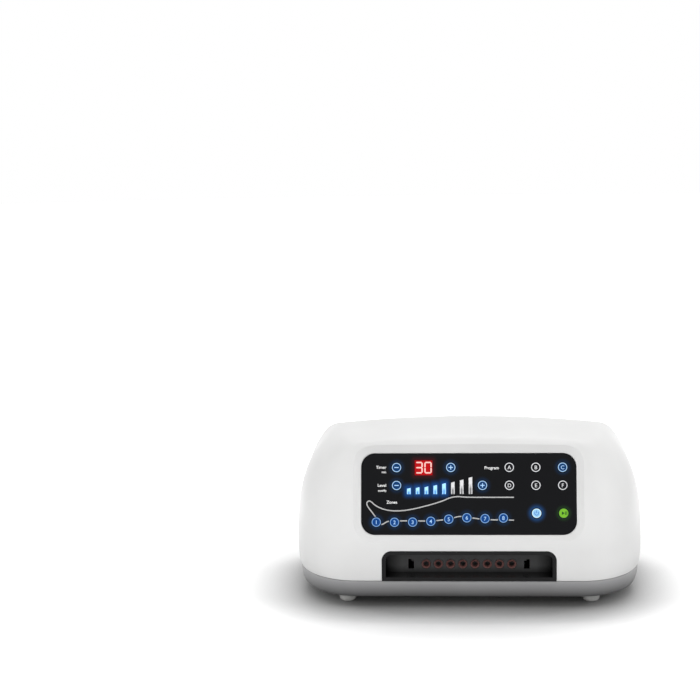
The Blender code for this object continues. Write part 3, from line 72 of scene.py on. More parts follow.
FRONT_SHOULDER_ROUND = 0.008
CASE_WALL = 0.003
LEAN = math.radians(14.0)
KNEE_HEIGHT = 0.060
KNEE_BLEND = 0.003

# How finely the case is drawn
CORNER_STEPS = 28
FRONT_STEPS = 24
SIDE_STEPS = 14
WALL_STEPS = 54
SHOULDER_STEPS = 7
TOP_STEPS = 16

# Lower shell
BASE_ROUND = 0.0042
BASE_WALL = 0.0025
BASE_STEPS = 14
SEAM_EASE = 0.0004
VENT_COUNT = 5
VENT_LENGTH = 0.030
VENT_WIDTH = 0.0028
VENT_PITCH = 0.0075
STANDOFF_RADIUS = 0.003
STANDOFF_INSET = 0.006
MANIFOLD_POST_RADIUS = 0.0035
MANIFOLD_POST_INSET = 0.008
MANIFOLD_NOZZLE_LENGTH = 0.008

# Feet, screws and their posts
CORNERS = ("front_left", "front_right", "rear_left", "rear_right")
FOOT_NAMES = [f"foot_{corner}" for corner in CORNERS]
FOOT_RADIUS = 0.008
FOOT_SEAT_DEPTH = 0.0012
FOOT_EDGE = 0.0003
FOOT_ROUND = (0.0036, 0.0044)
SCREW_NAMES = [f"case_screw_{corner}" for corner in CORNERS]
SCREW_SHANK_RADIUS = 0.0017
SCREW_HEAD_RADIUS = 0.0034
SCREW_HEAD_HEIGHT = 0.0024
SCREW_HEAD_SEAT = 0.005
SCREW_REACH = 0.010
SCREW_EDGE = 0.0004
SCREW_RECESS_WIDTH = 0.0009
SCREW_RECESS_LENGTH = 0.0036
SCREW_RECESS_DEPTH = 0.0014
POST_RADIUS = 0.0045
BOSS_RADIUS = 0.006
POST_SIDES = 32

# Panel and its border
PANEL_WIDTH = 0.190
PANEL_HEIGHT = 0.0720
PANEL_CENTRE_HEIGHT = 0.1012
PANEL_CORNER = 0.0120
PANEL_THICKNESS = 0.0025
PANEL_SET_IN = 0.004
PANEL_EDGE = 0.0003
PANEL_LEDGE = 0.005
PANEL_BOSS_DEPTH = 0.010
PANEL_BOSS_MARGIN = 0.008
BORDER_SIDE = 0.0065
BORDER_TOP = 0.0084
BORDER_CORNER = 0.019
LIP_WIDTH = 0.0006
LIP_RISE = 0.0002

# Keys and their marks
KEY_RADIUS = 0.0047
KEY_PROUD = 0.00025
KEY_EDGE = 0.00025
KEY_FLANGE_RADIUS = 0.0058
KEY_FLANGE_THICKNESS = 0.0008
RING_RADIUS = 0.00405
RING_LINE = 0.00064
RING_SOFT = 0.00008
MARK_HEIGHT = 0.0034
MARK_HEFT = 0.00004
SIGN_LENGTH = 0.0038
SIGN_WIDTH = 0.0008
POWER_MARK_RADIUS = 0.0020
POWER_MARK_LINE = 0.00060
PLAY_MARK_HEIGHT = 0.0032
PLAY_TIP_SHARE = 0.55
PLAY_BAR_START = 0.0012
PLAY_BAR_WIDTH = 0.0006
INK = 0.00003
CAP_HEIGHT_SHARE = 0.73
KEY_PLACE_SHARES = {
    "time_minus_button": (-0.335, 0.3265),
    "time_plus_button": (-0.082, 0.3265),
    "pressure_minus_button": (-0.335, 0.106),
    "pressure_plus_button": (0.065, 0.106),
    "mode_a_button": (0.190, 0.3265),
    "mode_b_button": (0.313, 0.3265),
    "mode_c_button": (0.437, 0.3265),
    "mode_d_button": (0.190, 0.106),
    "mode_e_button": (0.313, 0.106),
    "mode_f_button": (0.437, 0.106),
    "power_button": (0.315, -0.236),
    "start_button": (0.440, -0.236),
    "chamber_1_button": (-0.430, -0.344),
    "chamber_2_button": (-0.345, -0.346),
    "chamber_3_button": (-0.2605, -0.344),
    "chamber_4_button": (-0.176, -0.334),
    "chamber_5_button": (-0.0925, -0.308),
    "chamber_6_button": (-0.0085, -0.291),
    "chamber_7_button": (0.076, -0.301),
    "chamber_8_button": (0.161, -0.294),
}

# Display, bars, words and the leg outline
DISPLAY_WIDTH = 0.0155
DISPLAY_HEIGHT = 0.0129
DISPLAY_CORNER = 0.0004
DISPLAY_PLACE_SHARES = (-0.209, 0.3245)
DISPLAY_DEPTH = 0.0035
DIGIT_HEIGHT = 0.0104
DIGIT_WIDTH = 0.0066
DIGIT_PITCH = 0.0080
SEGMENT = 0.0012
SEGMENT_GAP = 0.00004
RED_EVEN_TO = 0.002
RED_FADED_AT = 0.0105
FACE_SET_IN = 0.0001
BAR_WIDTH = 0.0031
BAR_PITCH = 0.0078
BAR_TALLEST = 0.0151
BAR_SLANT = 0.0009
BAR_HEIGHT_SHARES = (0.36, 0.40, 0.45, 0.53, 0.64, 0.72, 0.85, 1.0)
BAR_PLACE_SHARES = (-0.278, 0.0)
BAR_MARGIN = 0.0012
BAR_EDGE = 0.0001
LIT_BARS = 5
BAR_SHADE_ACROSS = (0.42, 0.12)
BAR_SHADE_UP = (0.62, 0.30)
GUIDE_THICKNESS = 0.0012
LINE_WIDTH = 0.0010
WORD_HEIGHT = 0.0027
SMALL_WORD_HEIGHT = 0.0020
WORD_HEFT = 0.00005
WORDS = (
    ("word_timer", "Timer", WORD_HEIGHT, "RIGHT", (-0.383, 0.312)),
    ("word_minutes", "min", SMALL_WORD_HEIGHT, "RIGHT", (-0.383, 0.258)),
    ("word_level", "Level", WORD_HEIGHT, "RIGHT", (-0.383, 0.090)),
    ("word_pressure", "mmHg", SMALL_WORD_HEIGHT, "RIGHT", (-0.383, 0.030)),
    ("word_program", "Program", WORD_HEIGHT, "RIGHT", (0.142, 0.304)),
    ("word_zones", "Zones", WORD_HEIGHT, "LEFT", (-0.382, -0.117)),
)
LEG_RUNS = (
    ((-0.430, -0.290), (-0.452, -0.215), (-0.470, -0.150), (-0.474, -0.108), (-0.464, -0.084),
     (-0.452, -0.098), (-0.432, -0.142), (-0.395, -0.186), (-0.345, -0.206), (-0.280, -0.194),
     (-0.190, -0.140), (-0.125, -0.088), (-0.085, -0.046), (-0.048, -0.032), (0.010, -0.040),
     (0.210, -0.041)),
    ((-0.430, -0.344), (-0.405, -0.372), (-0.378, -0.338), (-0.345, -0.330), (-0.2605, -0.328),
     (-0.176, -0.330), (-0.0925, -0.306), (-0.045, -0.276), (-0.0085, -0.284), (0.076, -0.312),
     (0.161, -0.318), (0.210, -0.320)),
)

# Port bay, outlets and latch slots
BAY_CORNER = 0.0085
BAY_WALL = 0.0033
BAY_BACK_WALL = 0.0025
BAY_EDGE = 0.0003
BAY_SHADE = 0.014
BAY_FOOT_SHADE = 0.006
ARROW_SIZE = 0.0012
ARROW_LIFT = 0.0044
OUTLET_COUNT = 8
OUTLET_PITCH = 0.0109
COLLAR_RADIUS = 0.0040
OUTLET_BORE_RADIUS = 0.00225
COLLAR_PROUD = 0.0010
COLLAR_LIP = 0.0013
COLLAR_LIT_SHARE = 0.85
COLLAR_CONE = 0.0012
GASKET_THICKNESS = 0.0015
LATCH_OFFSET = 0.0515
LATCH_WIDTH = 0.0050
LATCH_HEIGHT = 0.0090
LATCH_NOTCH_WIDTH = 0.0022
LATCH_NOTCH_HEIGHT = 0.0015

# Rear plate
PLATE_CORNER = 0.004
PLATE_LEDGE = 0.004
PLATE_BOSS_DEPTH = 0.010
PLATE_BOSS_MARGIN = 0.007

# Photograph: a square picture, and where its camera stood
IMAGE_SIDE = 700
SENSOR = 36.0
LENS = 100.0
VIEW_ELEVATION = math.radians(12.0)
VIEW_DISTANCE = 1.8247
AIM = Vector((0.0, 0.0, 0.085))
AIM_PIXEL = (468.5, 488.3)
ROLL = -0.0035

# Studio
FLOOR_RADIUS = 6.0
FLOOR_SEEN = 0.97
FLOOR_GIVEN = 0.25
FLOOR_FADE_START = 0.14
FLOOR_FADE_END = 0.50
SHADOW_REACH = 0.06
SHADOW_FROM = (0.0, 0.75, 0.66)
SKY_LOW = 0.03
SKY_HIGH = 0.30
SKY_TURN = 0.70

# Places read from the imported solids
FACING_FRONT = Matrix.Rotation(math.pi / 2, 4, "X")
FACING_BACK = Matrix.Rotation(math.pi, 4, "Z") @ FACING_FRONT
IN_PLACE = Matrix.Identity(4)

case_low, case_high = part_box("upper_shell")
side_plane = case_high.x
front_plane = case_low.y
back_plane = case_high.y
seam_top = case_low.z
base_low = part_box("lower_shell")[0].z
panel_back = PANEL_SET_IN + PANEL_THICKNESS
panel_y = front_plane + (PANEL_CENTRE_HEIGHT - KNEE_HEIGHT) * math.tan(LEAN)
PANEL = Matrix.Translation((0, panel_y, PANEL_CENTRE_HEIGHT)) @ Matrix.Rotation(math.pi / 2 - LEAN, 4, "X")
bay_low, bay_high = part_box("port_bay")
bay_back = bay_high.y
bay_width = bay_high.x - bay_low.x
bay_height = bay_high.z - bay_low.z
bay_depth = bay_back - bay_low.y
BAY = Matrix.Translation((0, bay_low.y, (bay_low.z + bay_high.z) / 2)) @ FACING_FRONT
gasket_low, gasket_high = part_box("outlet_gasket")
outlet_height = (gasket_low.z + gasket_high.z) / 2
outlet_places = [OUTLET_PITCH * (step - (OUTLET_COUNT - 1) / 2) for step in range(OUTLET_COUNT)]
plate_low, plate_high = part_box("rear_plate")
plate_width = plate_high.x - plate_low.x
plate_height = plate_high.z - plate_low.z
plate_inward = back_plane - plate_low.y
plate_middle = (plate_low + plate_high) / 2
REAR = Matrix.Translation((plate_middle.x, back_plane, plate_middle.z)) @ FACING_BACK


def centre_of(node):
    low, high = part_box(node)
    return (low.x + high.x) / 2, (low.y + high.y) / 2


foot_places = {name: centre_of(name) for name in FOOT_NAMES}
post_places = [centre_of(name) for name in SCREW_NAMES]
display_place = (DISPLAY_PLACE_SHARES[0] * PANEL_WIDTH, DISPLAY_PLACE_SHARES[1] * PANEL_HEIGHT)


# Materials
NOISE_LOW, NOISE_HIGH = 0.3, 0.7
RUB_START, RUB_END = 0.54, 0.62


class Finish:
    """A Principled material with its colour, gloss and grain drawn from noise on the piece."""

    def __init__(self, name):
        self.material = bpy.data.materials.new(name)
        self.material.use_nodes = True
        self.tree = self.material.node_tree
        self.shader = self.tree.nodes["Principled BSDF"]
        self.place = self.add("ShaderNodeTexCoord").outputs["Object"]

    def add(self, kind, inputs=(), **settings):
        node = self.tree.nodes.new(kind)
        for key, value in settings.items():
            setattr(node, key, value)
        for key, value in dict(inputs).items():
            if isinstance(value, bpy.types.NodeSocket):
                self.tree.links.new(value, node.inputs[key])
            else:
                node.inputs[key].default_value = value
        return node

    def noise(self, scale, detail=3.0, roughness=0.5):
        inputs = {"Vector": self.place, "Scale": scale, "Detail": detail, "Roughness": roughness}
        return self.add("ShaderNodeTexNoise", inputs).outputs["Fac"]

    def ramp(self, value, start, end, low=0.0, high=1.0):
        inputs = {"Value": value, "From Min": start, "From Max": end, "To Min": low, "To Max": high}
        return self.add("ShaderNodeMapRange", inputs).outputs["Result"]

    def mix(self, share, first, second):
        node = self.add("ShaderNodeMix", data_type="RGBA")
        for socket, value in zip((node.inputs[0], node.inputs[6], node.inputs[7]), (share, first, second)):
            if isinstance(value, bpy.types.NodeSocket):
                self.tree.links.new(value, socket)
            else:
                socket.default_value = value
        return node.outputs[2]

    def arith(self, operation, first, second=0.0):
        return self.add("ShaderNodeMath", {0: first, 1: second}, operation=operation).outputs[0]

    def uneven(self, scale, low=0.0, high=1.0):
        """Noise on the piece, stretched between two values."""
        return self.ramp(self.noise(scale), NOISE_LOW, NOISE_HIGH, low, high)

    def vector(self, operation, first, second=(0, 0, 0)):
        return self.add("ShaderNodeVectorMath", {0: first, 1: second}, operation=operation).outputs[0]

    def length(self, value):
        return self.add("ShaderNodeVectorMath", {0: value}, operation="LENGTH").outputs["Value"]

    def radius(self):
        """Distance from the piece's own axis."""
        return self.length(self.vector("MULTIPLY", self.place, (1, 1, 0)))

    def link(self, socket, value):
        if isinstance(value, bpy.types.NodeSocket):
            self.tree.links.new(value, self.shader.inputs[socket])
        else:
            self.shader.inputs[socket].default_value = value

    def colour(self, value, mottle=0.03, scale=14.0):
        """A colour that varies a little over the piece."""
        dark, pale = shade(value, 1 - mottle), shade(value, 1 + mottle)
        self.link("Base Color", self.mix(self.uneven(scale), dark, pale))

    def painted_shade_down(self, value, low, high, share):
        """A colour painted darker down the piece, from one height to another, as painted shade."""
        height = self.add("ShaderNodeSeparateXYZ", {0: self.place}).outputs["Z"]
        rise = self.ramp(self.arith("ADD", height, self.uneven(30.0, -0.0004, 0.0004)), low, high)
        self.link("Base Color", self.mix(rise, shade(value, share), shade(value, 1.0)))

    def gloss(self, roughness, spread=0.05, scale=45.0):
        noise = self.noise(scale, 5.0, 0.6)
        low, high = roughness - spread, roughness + spread
        self.link("Roughness", self.ramp(noise, NOISE_LOW, NOISE_HIGH, low, high))

    def grain(self, scale, depth):
        height = self.noise(scale, 2.0)
        bump = self.add("ShaderNodeBump", {"Height": height, "Strength": 1.0, "Distance": depth})
        self.link("Normal", bump.outputs["Normal"])

    def worn(self, base, edge):
        """The colour of rubbed edges, laid over the base colour where the surface turns sharply."""
        turn = self.add("ShaderNodeNewGeometry").outputs["Pointiness"]
        patches = self.ramp(self.noise(220.0), 0.35, 0.65)
        rub = self.arith("MULTIPLY", self.ramp(turn, RUB_START, RUB_END), patches)
        mottled = self.mix(self.uneven(14.0), shade(base, 0.97), shade(base, 1.03))
        self.link("Base Color", self.mix(rub, mottled, (*edge, 1.0)))


def shade(value, share):
    return tuple(min(1.0, c * share) for c in value) + (1.0,)


def plastic(name, value, roughness, grain_scale, grain_depth, edge=None, specular=0.5):
    finish = Finish(name)
    if edge:
        finish.worn(value, edge)
    else:
        finish.colour(value)
    finish.gloss(roughness)
    finish.grain(grain_scale, grain_depth)
    finish.link("Specular IOR Level", specular)
    return finish.material


def base_finish():
    finish = Finish("grey_shell")
    # Painted shade: the grey is painted darker toward the bottom of the base, down to 0.24 of its value.
    finish.painted_shade_down((0.33, 0.33, 0.335), base_low, SEAM_HEIGHT, 0.24)
    finish.gloss(0.40)
    finish.grain(1800.0, 0.000010)
    return finish.material


def bay_finish():
    """Dark plastic, painted darker toward the ends and the foot of the bay as painted shade, and painted
    lighter inside than on its rim as painted light.
    """
    finish = Finish("bay_gloss")
    spot = finish.add("ShaderNodeSeparateXYZ", {0: finish.place})
    half_width, half_height = bay_width / 2 - BAY_WALL, bay_height / 2 - BAY_WALL
    # Painted shade: darker toward the bay's end walls and its foot.
    ends = finish.ramp(finish.arith("ABSOLUTE", spot.outputs["X"]), half_width, half_width - BAY_SHADE)
    foot = finish.ramp(spot.outputs["Y"], -half_height, BAY_FOOT_SHADE - half_height, 0.35, 1.0)
    deep = finish.ramp(spot.outputs["Z"], -BAY_EDGE, -BAY_WALL)
    shaded = finish.arith("SUBTRACT", 1.0, finish.arith("MULTIPLY", ends, foot))
    unshaded_share = finish.arith("SUBTRACT", 1.0, finish.arith("MULTIPLY", deep, shaded))
    level = finish.arith("MULTIPLY", unshaded_share, finish.uneven(60.0, 0.9, 1.1))
    # Painted light: the inside is painted lighter than the rim, to make up for the shade within the bay.
    inside_painted_light = finish.mix(level, (0, 0, 0, 1), (0.056, 0.056, 0.057, 1))
    finish.link("Base Color", finish.mix(deep, (0.0125, 0.0125, 0.0130, 1), inside_painted_light))
    finish.link("Specular IOR Level", 0.10)
    finish.gloss(0.24, 0.03)
    finish.grain(900.0, 0.0000006)
    return finish.material


def metal(name, value, roughness, grain_scale, grain_depth):
    finish = Finish(name)
    finish.colour(value, 0.06, 60.0)
    finish.gloss(roughness, 0.08, 120.0)
    finish.grain(grain_scale, grain_depth)
    finish.link("Metallic", 1.0)
    return finish.material


def light(name, base, glow, strength, spread=0.06):
    """A printed mark or lens lit from behind, a little uneven over its width."""
    finish = Finish(name)
    finish.colour(base, 0.05, 300.0)
    finish.gloss(0.3)
    finish.grain(3000.0, 0.000003)
    finish.link("Specular IOR Level", 0.10)
    colour = finish.mix(finish.uneven(400.0), shade(glow, 1 - spread), shade(glow, 1 + spread))
    finish.link("Emission Color", colour)
    finish.link("Emission Strength", strength)
    return finish.material


def key_finish(name, fill, ring, fill_glow, ring_glow):
    """A key's face: a filled disc, a bright ring and the black rim outside it."""
    finish = Finish(name)
    away = finish.radius()
    inner = RING_RADIUS - RING_LINE
    in_disc = finish.ramp(away, inner + RING_SOFT, inner - RING_SOFT)
    in_round = finish.ramp(away, RING_RADIUS + RING_SOFT, RING_RADIUS - RING_SOFT)
    in_ring = finish.arith("MULTIPLY", in_round, finish.arith("SUBTRACT", 1.0, in_disc))
    rim = (0.010, 0.012, 0.018, 1.0)
    filled = finish.mix(finish.uneven(500.0), shade(fill, 0.94), shade(fill, 1.06))
    finish.link("Base Color", finish.mix(in_ring, finish.mix(in_disc, rim, filled), (*ring, 1.0)))
    lit_disc = finish.mix(in_disc, (0, 0, 0, 1), (*fill_glow, 1.0))
    finish.link("Emission Color", finish.mix(in_ring, lit_disc, (*ring_glow, 1.0)))
    finish.link("Specular IOR Level", 0.10)
    finish.link("Emission Strength", 1.0)
    finish.gloss(0.22, 0.04, 200.0)
    finish.grain(2500.0, 0.000004)
    return finish.material


# Meshes


def skin(build, rings):
    """Faces between rings of equal count."""
    rows = [[build.verts.new(point) for point in ring] for ring in rings]
    count = len(rows[0])
    for lower, upper in zip(rows, rows[1:]):
        for i in range(count):
            after = (i + 1) % count
            build.faces.new((lower[i], lower[after], upper[after], upper[i]))
    return rows


def loft(build, rings):
    """Skin over rings, closed at both ends."""
    rows = skin(build, rings)
    build.faces.new(list(reversed(rows[0])))
    build.faces.new(rows[-1])
    return build


def rounded_ring(width, height, corner, depth, shift=0.0, steps=8, square_below=False):
    """A rounded rectangle at this depth below the panel frame's surface, anticlockwise."""
    ring = []
    for step_x, step_y, start in ((1, -1, -0.5), (1, 1, 0.0), (-1, 1, 0.5), (-1, -1, 1.0)):
        radius = min(corner, GAP) if square_below and step_y < 0 else corner
        for step in range(steps + 1):
            angle = math.pi * (start + step / steps / 2)
            ring.append(
                (
                    step_x * (width / 2 - radius) + radius * math.cos(angle),
                    step_y * (height / 2 - radius) + radius * math.sin(angle) + shift,
                    -depth,
                )
            )
    return ring


def eased_slab(width, height, corner, back, front, ease, steps=8):
    """A rounded slab between two depths, with a small round along its front edge."""
    rings = [rounded_ring(width, height, corner, back, 0, steps)]
    for step in range(5):
        angle = math.pi / 2 * step / 4
        inset = ease * (1 - math.cos(angle))
        depth = front + ease * (1 - math.sin(angle))
        size = (width - 2 * inset, height - 2 * inset, max(corner - inset, GAP / 2))
        rings.append(rounded_ring(*size, depth, 0, steps))
    return loft(bmesh.new(), rings)


def put_block(build, low, high):
    size = Vector(high) - Vector(low)
    middle = (Vector(high) + Vector(low)) / 2
    place = Matrix.Translation(middle) @ Matrix.Diagonal((*size, 1.0))
    bmesh.ops.create_cube(build, size=1, matrix=place)
    return build


def put_rod(build, start, end, radius, sides):
    start, end = Vector(start), Vector(end)
    turn = (end - start).to_track_quat("Z", "Y").to_matrix().to_4x4()
    bmesh.ops.create_cone(
        build,
        cap_ends=True,
        segments=sides,
        radius1=radius,
        radius2=radius,
        depth=(end - start).length,
        matrix=Matrix.Translation((start + end) / 2) @ turn,
    )
    return build


def turned(build, profile, sides=48, place=IN_PLACE):
    """A turned form about the piece's Z axis, from its profile of (radius, height)."""
    rows = []
    for radius, height in profile:
        if radius == 0:
            rows.append([build.verts.new(place @ Vector((0, 0, height)))])
            continue
        angles = [2 * math.pi * step / sides for step in range(sides)]
        ring = [Vector((radius * math.cos(a), radius * math.sin(a), height)) for a in angles]
        rows.append([build.verts.new(place @ point) for point in ring])
    for first, second in zip(rows, rows[1:]):
        for i in range(sides):
            after = (i + 1) % sides
            corners = [first[i % len(first)], first[after % len(first)]]
            corners += [second[after % len(second)], second[i % len(second)]]
            build.faces.new(list(dict.fromkeys(corners)))
    bmesh.ops.recalc_face_normals(build, faces=build.faces)
    return build


def arc(middle, radius, start, end, steps):
    """Points of a profile's round, in degrees."""
    found = []
    for step in range(steps + 1):
        angle = math.radians(start + (end - start) * step / steps)
        found.append((middle[0] + radius * math.cos(angle), middle[1] + radius * math.sin(angle)))
    return found


def to_mesh(name, build):
    bmesh.ops.recalc_face_normals(build, faces=build.faces)
    mesh = bpy.data.meshes.new(name)
    build.to_mesh(mesh)
    build.free()
    return mesh


def spare(name, build, place=IN_PLACE):
    thing = bpy.data.objects.new(name, to_mesh(name, build))
    bpy.context.scene.collection.objects.link(thing)
    thing.matrix_world = place
    return thing


def cut(form, place=IN_PLACE):
    """A step of carved() that takes a form away."""
    return "DIFFERENCE", form, place


def carved(name, body, steps, ease=0.0):
    """The body after each (operation, form, place) of the steps, as one mesh, with its edges eased."""
    thing = spare(name, body)
    tools = [spare(f"{name}_tool", form, place) for _, form, place in steps]
    for (operation, _, _), tool in zip(steps, tools):
        change = thing.modifiers.new(operation.lower(), "BOOLEAN")
        change.operation = operation
        change.solver = "MANIFOLD"
        change.object = tool
    if ease:
        round_off = thing.modifiers.new("ease", "BEVEL")
        round_off.width = ease
        round_off.segments = 2
        round_off.limit_method = "ANGLE"
        round_off.angle_limit = math.radians(40)
    bpy.context.view_layer.update()
    graph = bpy.context.evaluated_depsgraph_get()
    mesh = bpy.data.meshes.new_from_object(thing.evaluated_get(graph), depsgraph=graph)
    mesh.name = name
    for spent in (thing, *tools):
        bpy.data.objects.remove(spent)
    return mesh


def dress(name, mesh, finishes, place=IN_PLACE, stands_for=(), body="console", sharp=32.0):
    """Puts a mesh in the scene as a piece that rides on a body."""
    mesh.materials.clear()
    for finish in finishes:
        mesh.materials.append(finish)
    mesh.shade_smooth()
    mesh.set_sharp_from_angle(angle=math.radians(sharp))
    piece = bpy.data.objects.new(name, mesh)
    bpy.context.scene.collection.objects.link(piece)
    piece.matrix_world = place
    even = piece.modifiers.new("flat faces stay flat", "WEIGHTED_NORMAL")
    even.keep_sharp = True
    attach(piece, body)
    if stands_for:
        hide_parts(*stands_for)


# Case form, as in the solids


def drawn_in(height, taper, tuck):
    above = np.clip((height - WIDEST_HEIGHT) / TAPER_HEIGHT, 0, None) ** TAPER_POWER
    below = (np.clip(WIDEST_HEIGHT - height, 0, None) / (WIDEST_HEIGHT - SEAM_HEIGHT)) ** 2
    return taper * above + tuck * below


def around():
    """Each place around the case as shares of flat front, corner, side and back, anticlockwise."""
    places = []
    quarter = [math.pi / 2 * step / CORNER_STEPS for step in range(CORNER_STEPS + 1)]
    for angle in quarter:
        places.append(("front", 1, math.sin(angle), 1 - math.cos(angle)))
    for step in range(1, SIDE_STEPS):
        places.append(("side", 1, step / SIDE_STEPS, 0))
    for angle in quarter:
        places.append(("back", 1, math.cos(angle), math.sin(angle)))
    for step in range(1, FRONT_STEPS):
        places.append(("rear", 1 - 2 * step / FRONT_STEPS, 0, 0))
    for angle in reversed(quarter):
        places.append(("back", -1, math.cos(angle), math.sin(angle)))
    for step in range(1, SIDE_STEPS):
        places.append(("side", -1, 1 - step / SIDE_STEPS, 0))
    for angle in reversed(quarter):
        places.append(("front", -1, math.sin(angle), 1 - math.cos(angle)))
    for step in range(1, FRONT_STEPS):
        places.append(("face", 2 * step / FRONT_STEPS - 1, 0, 0))
    return places


AROUND = around()


def outline(height, inset):
    """The case seen from above, one point for each place around it; height may differ at each."""
    height = np.broadcast_to(height, (len(AROUND),))
    side = side_plane - drawn_in(height, SIDE_TAPER, SIDE_TUCK) - inset
    lean = math.tan(LEAN) * KNEE_BLEND * np.log1p(np.exp((height - KNEE_HEIGHT) / KNEE_BLEND))
    front = front_plane + lean + drawn_in(np.minimum(height, WIDEST_HEIGHT), 0, END_TUCK) + inset
    back = back_plane - drawn_in(height, BACK_TAPER, END_TUCK) - inset
    deep = FRONT_CORNER_DEPTH - inset
    rear = BACK_CORNER - inset
    points = np.zeros((len(AROUND), 2))
    for i, (part, hand, first, second) in enumerate(AROUND):
        if part == "front":
            x = hand * (FRONT_FLAT + (side[i] - FRONT_FLAT) * first)
            y = front[i] + deep * second
        elif part == "side":
            x = hand * side[i]
            y = front[i] + deep + (back[i] - rear - front[i] - deep) * first
        elif part == "back":
            x = hand * (side[i] - rear + rear * first)
            y = back[i] - rear + rear * second
        elif part == "rear":
            x = hand * (side[i] - rear)
            y = back[i]
        else:
            x = hand * FRONT_FLAT
            y = front[i]
        points[i] = x, y
    return points


def top_height(points):
    reach = points[:, 1] - front_plane - CREST_SETBACK
    radius = np.where(reach < 0, TOP_FRONT_RADIUS, TOP_BACK_RADIUS)
    return CREST_HEIGHT - reach**2 / (2 * radius) - points[:, 0] ** 2 / (2 * CROWN_RADIUS)


def ringed(points, heights):
    return np.column_stack([points, np.broadcast_to(heights, (len(points),))])


def case_rings(inset, bottom, foot_ease=0.0):
    """Rings of the upper case's outer or inner form, from its lower edge to near the crest."""
    edge = np.full(len(AROUND), CREST_HEIGHT)
    for _ in range(12):
        corner = outline(edge, inset)
        edge = top_height(corner) - inset
    middle = np.array([0.0, corner[:, 1].mean()])
    rings = []
    if foot_ease:
        for step in range(4, 0, -1):
            angle = math.pi / 2 * step / 4
            drop = bottom + foot_ease * (1 - math.sin(angle))
            rings.append(ringed(outline(drop, inset + foot_ease * (1 - math.cos(angle))), drop))
    start = bottom + foot_ease
    across = np.clip((corner[:, 1] - corner[:, 1].min()) / FRONT_CORNER_DEPTH, 0, 1)
    ease = FRONT_SHOULDER_ROUND + (SHOULDER_ROUND - FRONT_SHOULDER_ROUND) * across
    drop = edge - ease
    for share in np.linspace(0, 1, WALL_STEPS)[:-1]:
        height = start + share * (drop - start)
        rings.append(ringed(outline(height, inset), height))
    lower = ringed(outline(drop, inset), drop)
    crown = ringed(corner, edge)
    toward = middle - corner
    inward = corner + toward * (ease / np.linalg.norm(toward, axis=1))[:, None]
    upper = ringed(inward, top_height(inward) - inset)
    for share in np.linspace(0, 1, SHOULDER_STEPS):
        rising = lower + (crown - lower) * share
        rings.append(rising + (crown + (upper - crown) * share - rising) * share)
    shrink = np.linspace(1, 0, TOP_STEPS + 1)[1:-1]
    start_share = np.linalg.norm(inward - middle, axis=1) / np.linalg.norm(corner - middle, axis=1)
    for share in shrink:
        points = middle + (corner - middle) * (start_share * share)[:, None]
        rings.append(ringed(points, top_height(points) - inset))
    peak = middle[None, :]
    return rings, (0.0, middle[1], float(top_height(peak)[0]) - inset)


def case_form(inset, bottom, foot_ease=0.0):
    rings, peak = case_rings(inset, bottom, foot_ease)
    build = bmesh.new()
    rows = skin(build, rings)
    top = build.verts.new(peak)
    for i, point in enumerate(rows[-1]):
        build.faces.new((point, rows[-1][(i + 1) % len(AROUND)], top))
    build.faces.new(list(reversed(rows[0])))
    return build


def slab(width, height, corner, front, back, steps=8, square_below=False):
    """A rounded slab between two depths, as a form of its own."""
    size = (width, height, corner)
    return loft(bmesh.new(), [rounded_ring(*size, depth, 0, steps, square_below) for depth in (back, front)])


def as_form(mesh):
    build = bmesh.new()
    build.from_mesh(mesh)
    return build


def post_rods(top, radius):
    build = bmesh.new()
    for x, y in post_places:
        put_rod(build, (x, y, 0), (x, y, top), radius, POST_SIDES)
    return build


# Upper shell


def border_cutter():
    """The sloped border down to the panel, a narrow lip, and the pocket for the panel."""
    width = PANEL_WIDTH + 2 * GAP
    height = PANEL_HEIGHT + 2 * GAP
    corner = PANEL_CORNER + GAP
    lip_depth = PANEL_SET_IN - LIP_RISE
    reach = 1 + OVERRUN / lip_depth
    side = LIP_WIDTH + (BORDER_SIDE - LIP_WIDTH) * reach
    top = LIP_WIDTH + (BORDER_TOP - LIP_WIDTH) * reach
    outer_corner = corner + LIP_WIDTH + (BORDER_CORNER - corner - LIP_WIDTH) * reach
    lip = 2 * LIP_WIDTH
    rings = [
        rounded_ring(width, height, corner, panel_back + GAP, 0, 12),
        rounded_ring(width, height, corner, PANEL_SET_IN, 0, 12),
        rounded_ring(width + lip, height + lip, corner + LIP_WIDTH, lip_depth, 0, 12),
        rounded_ring(width + 2 * side, height + side + top, outer_corner, -OVERRUN, (top - side) / 2, 12),
    ]
    return loft(bmesh.new(), rings)


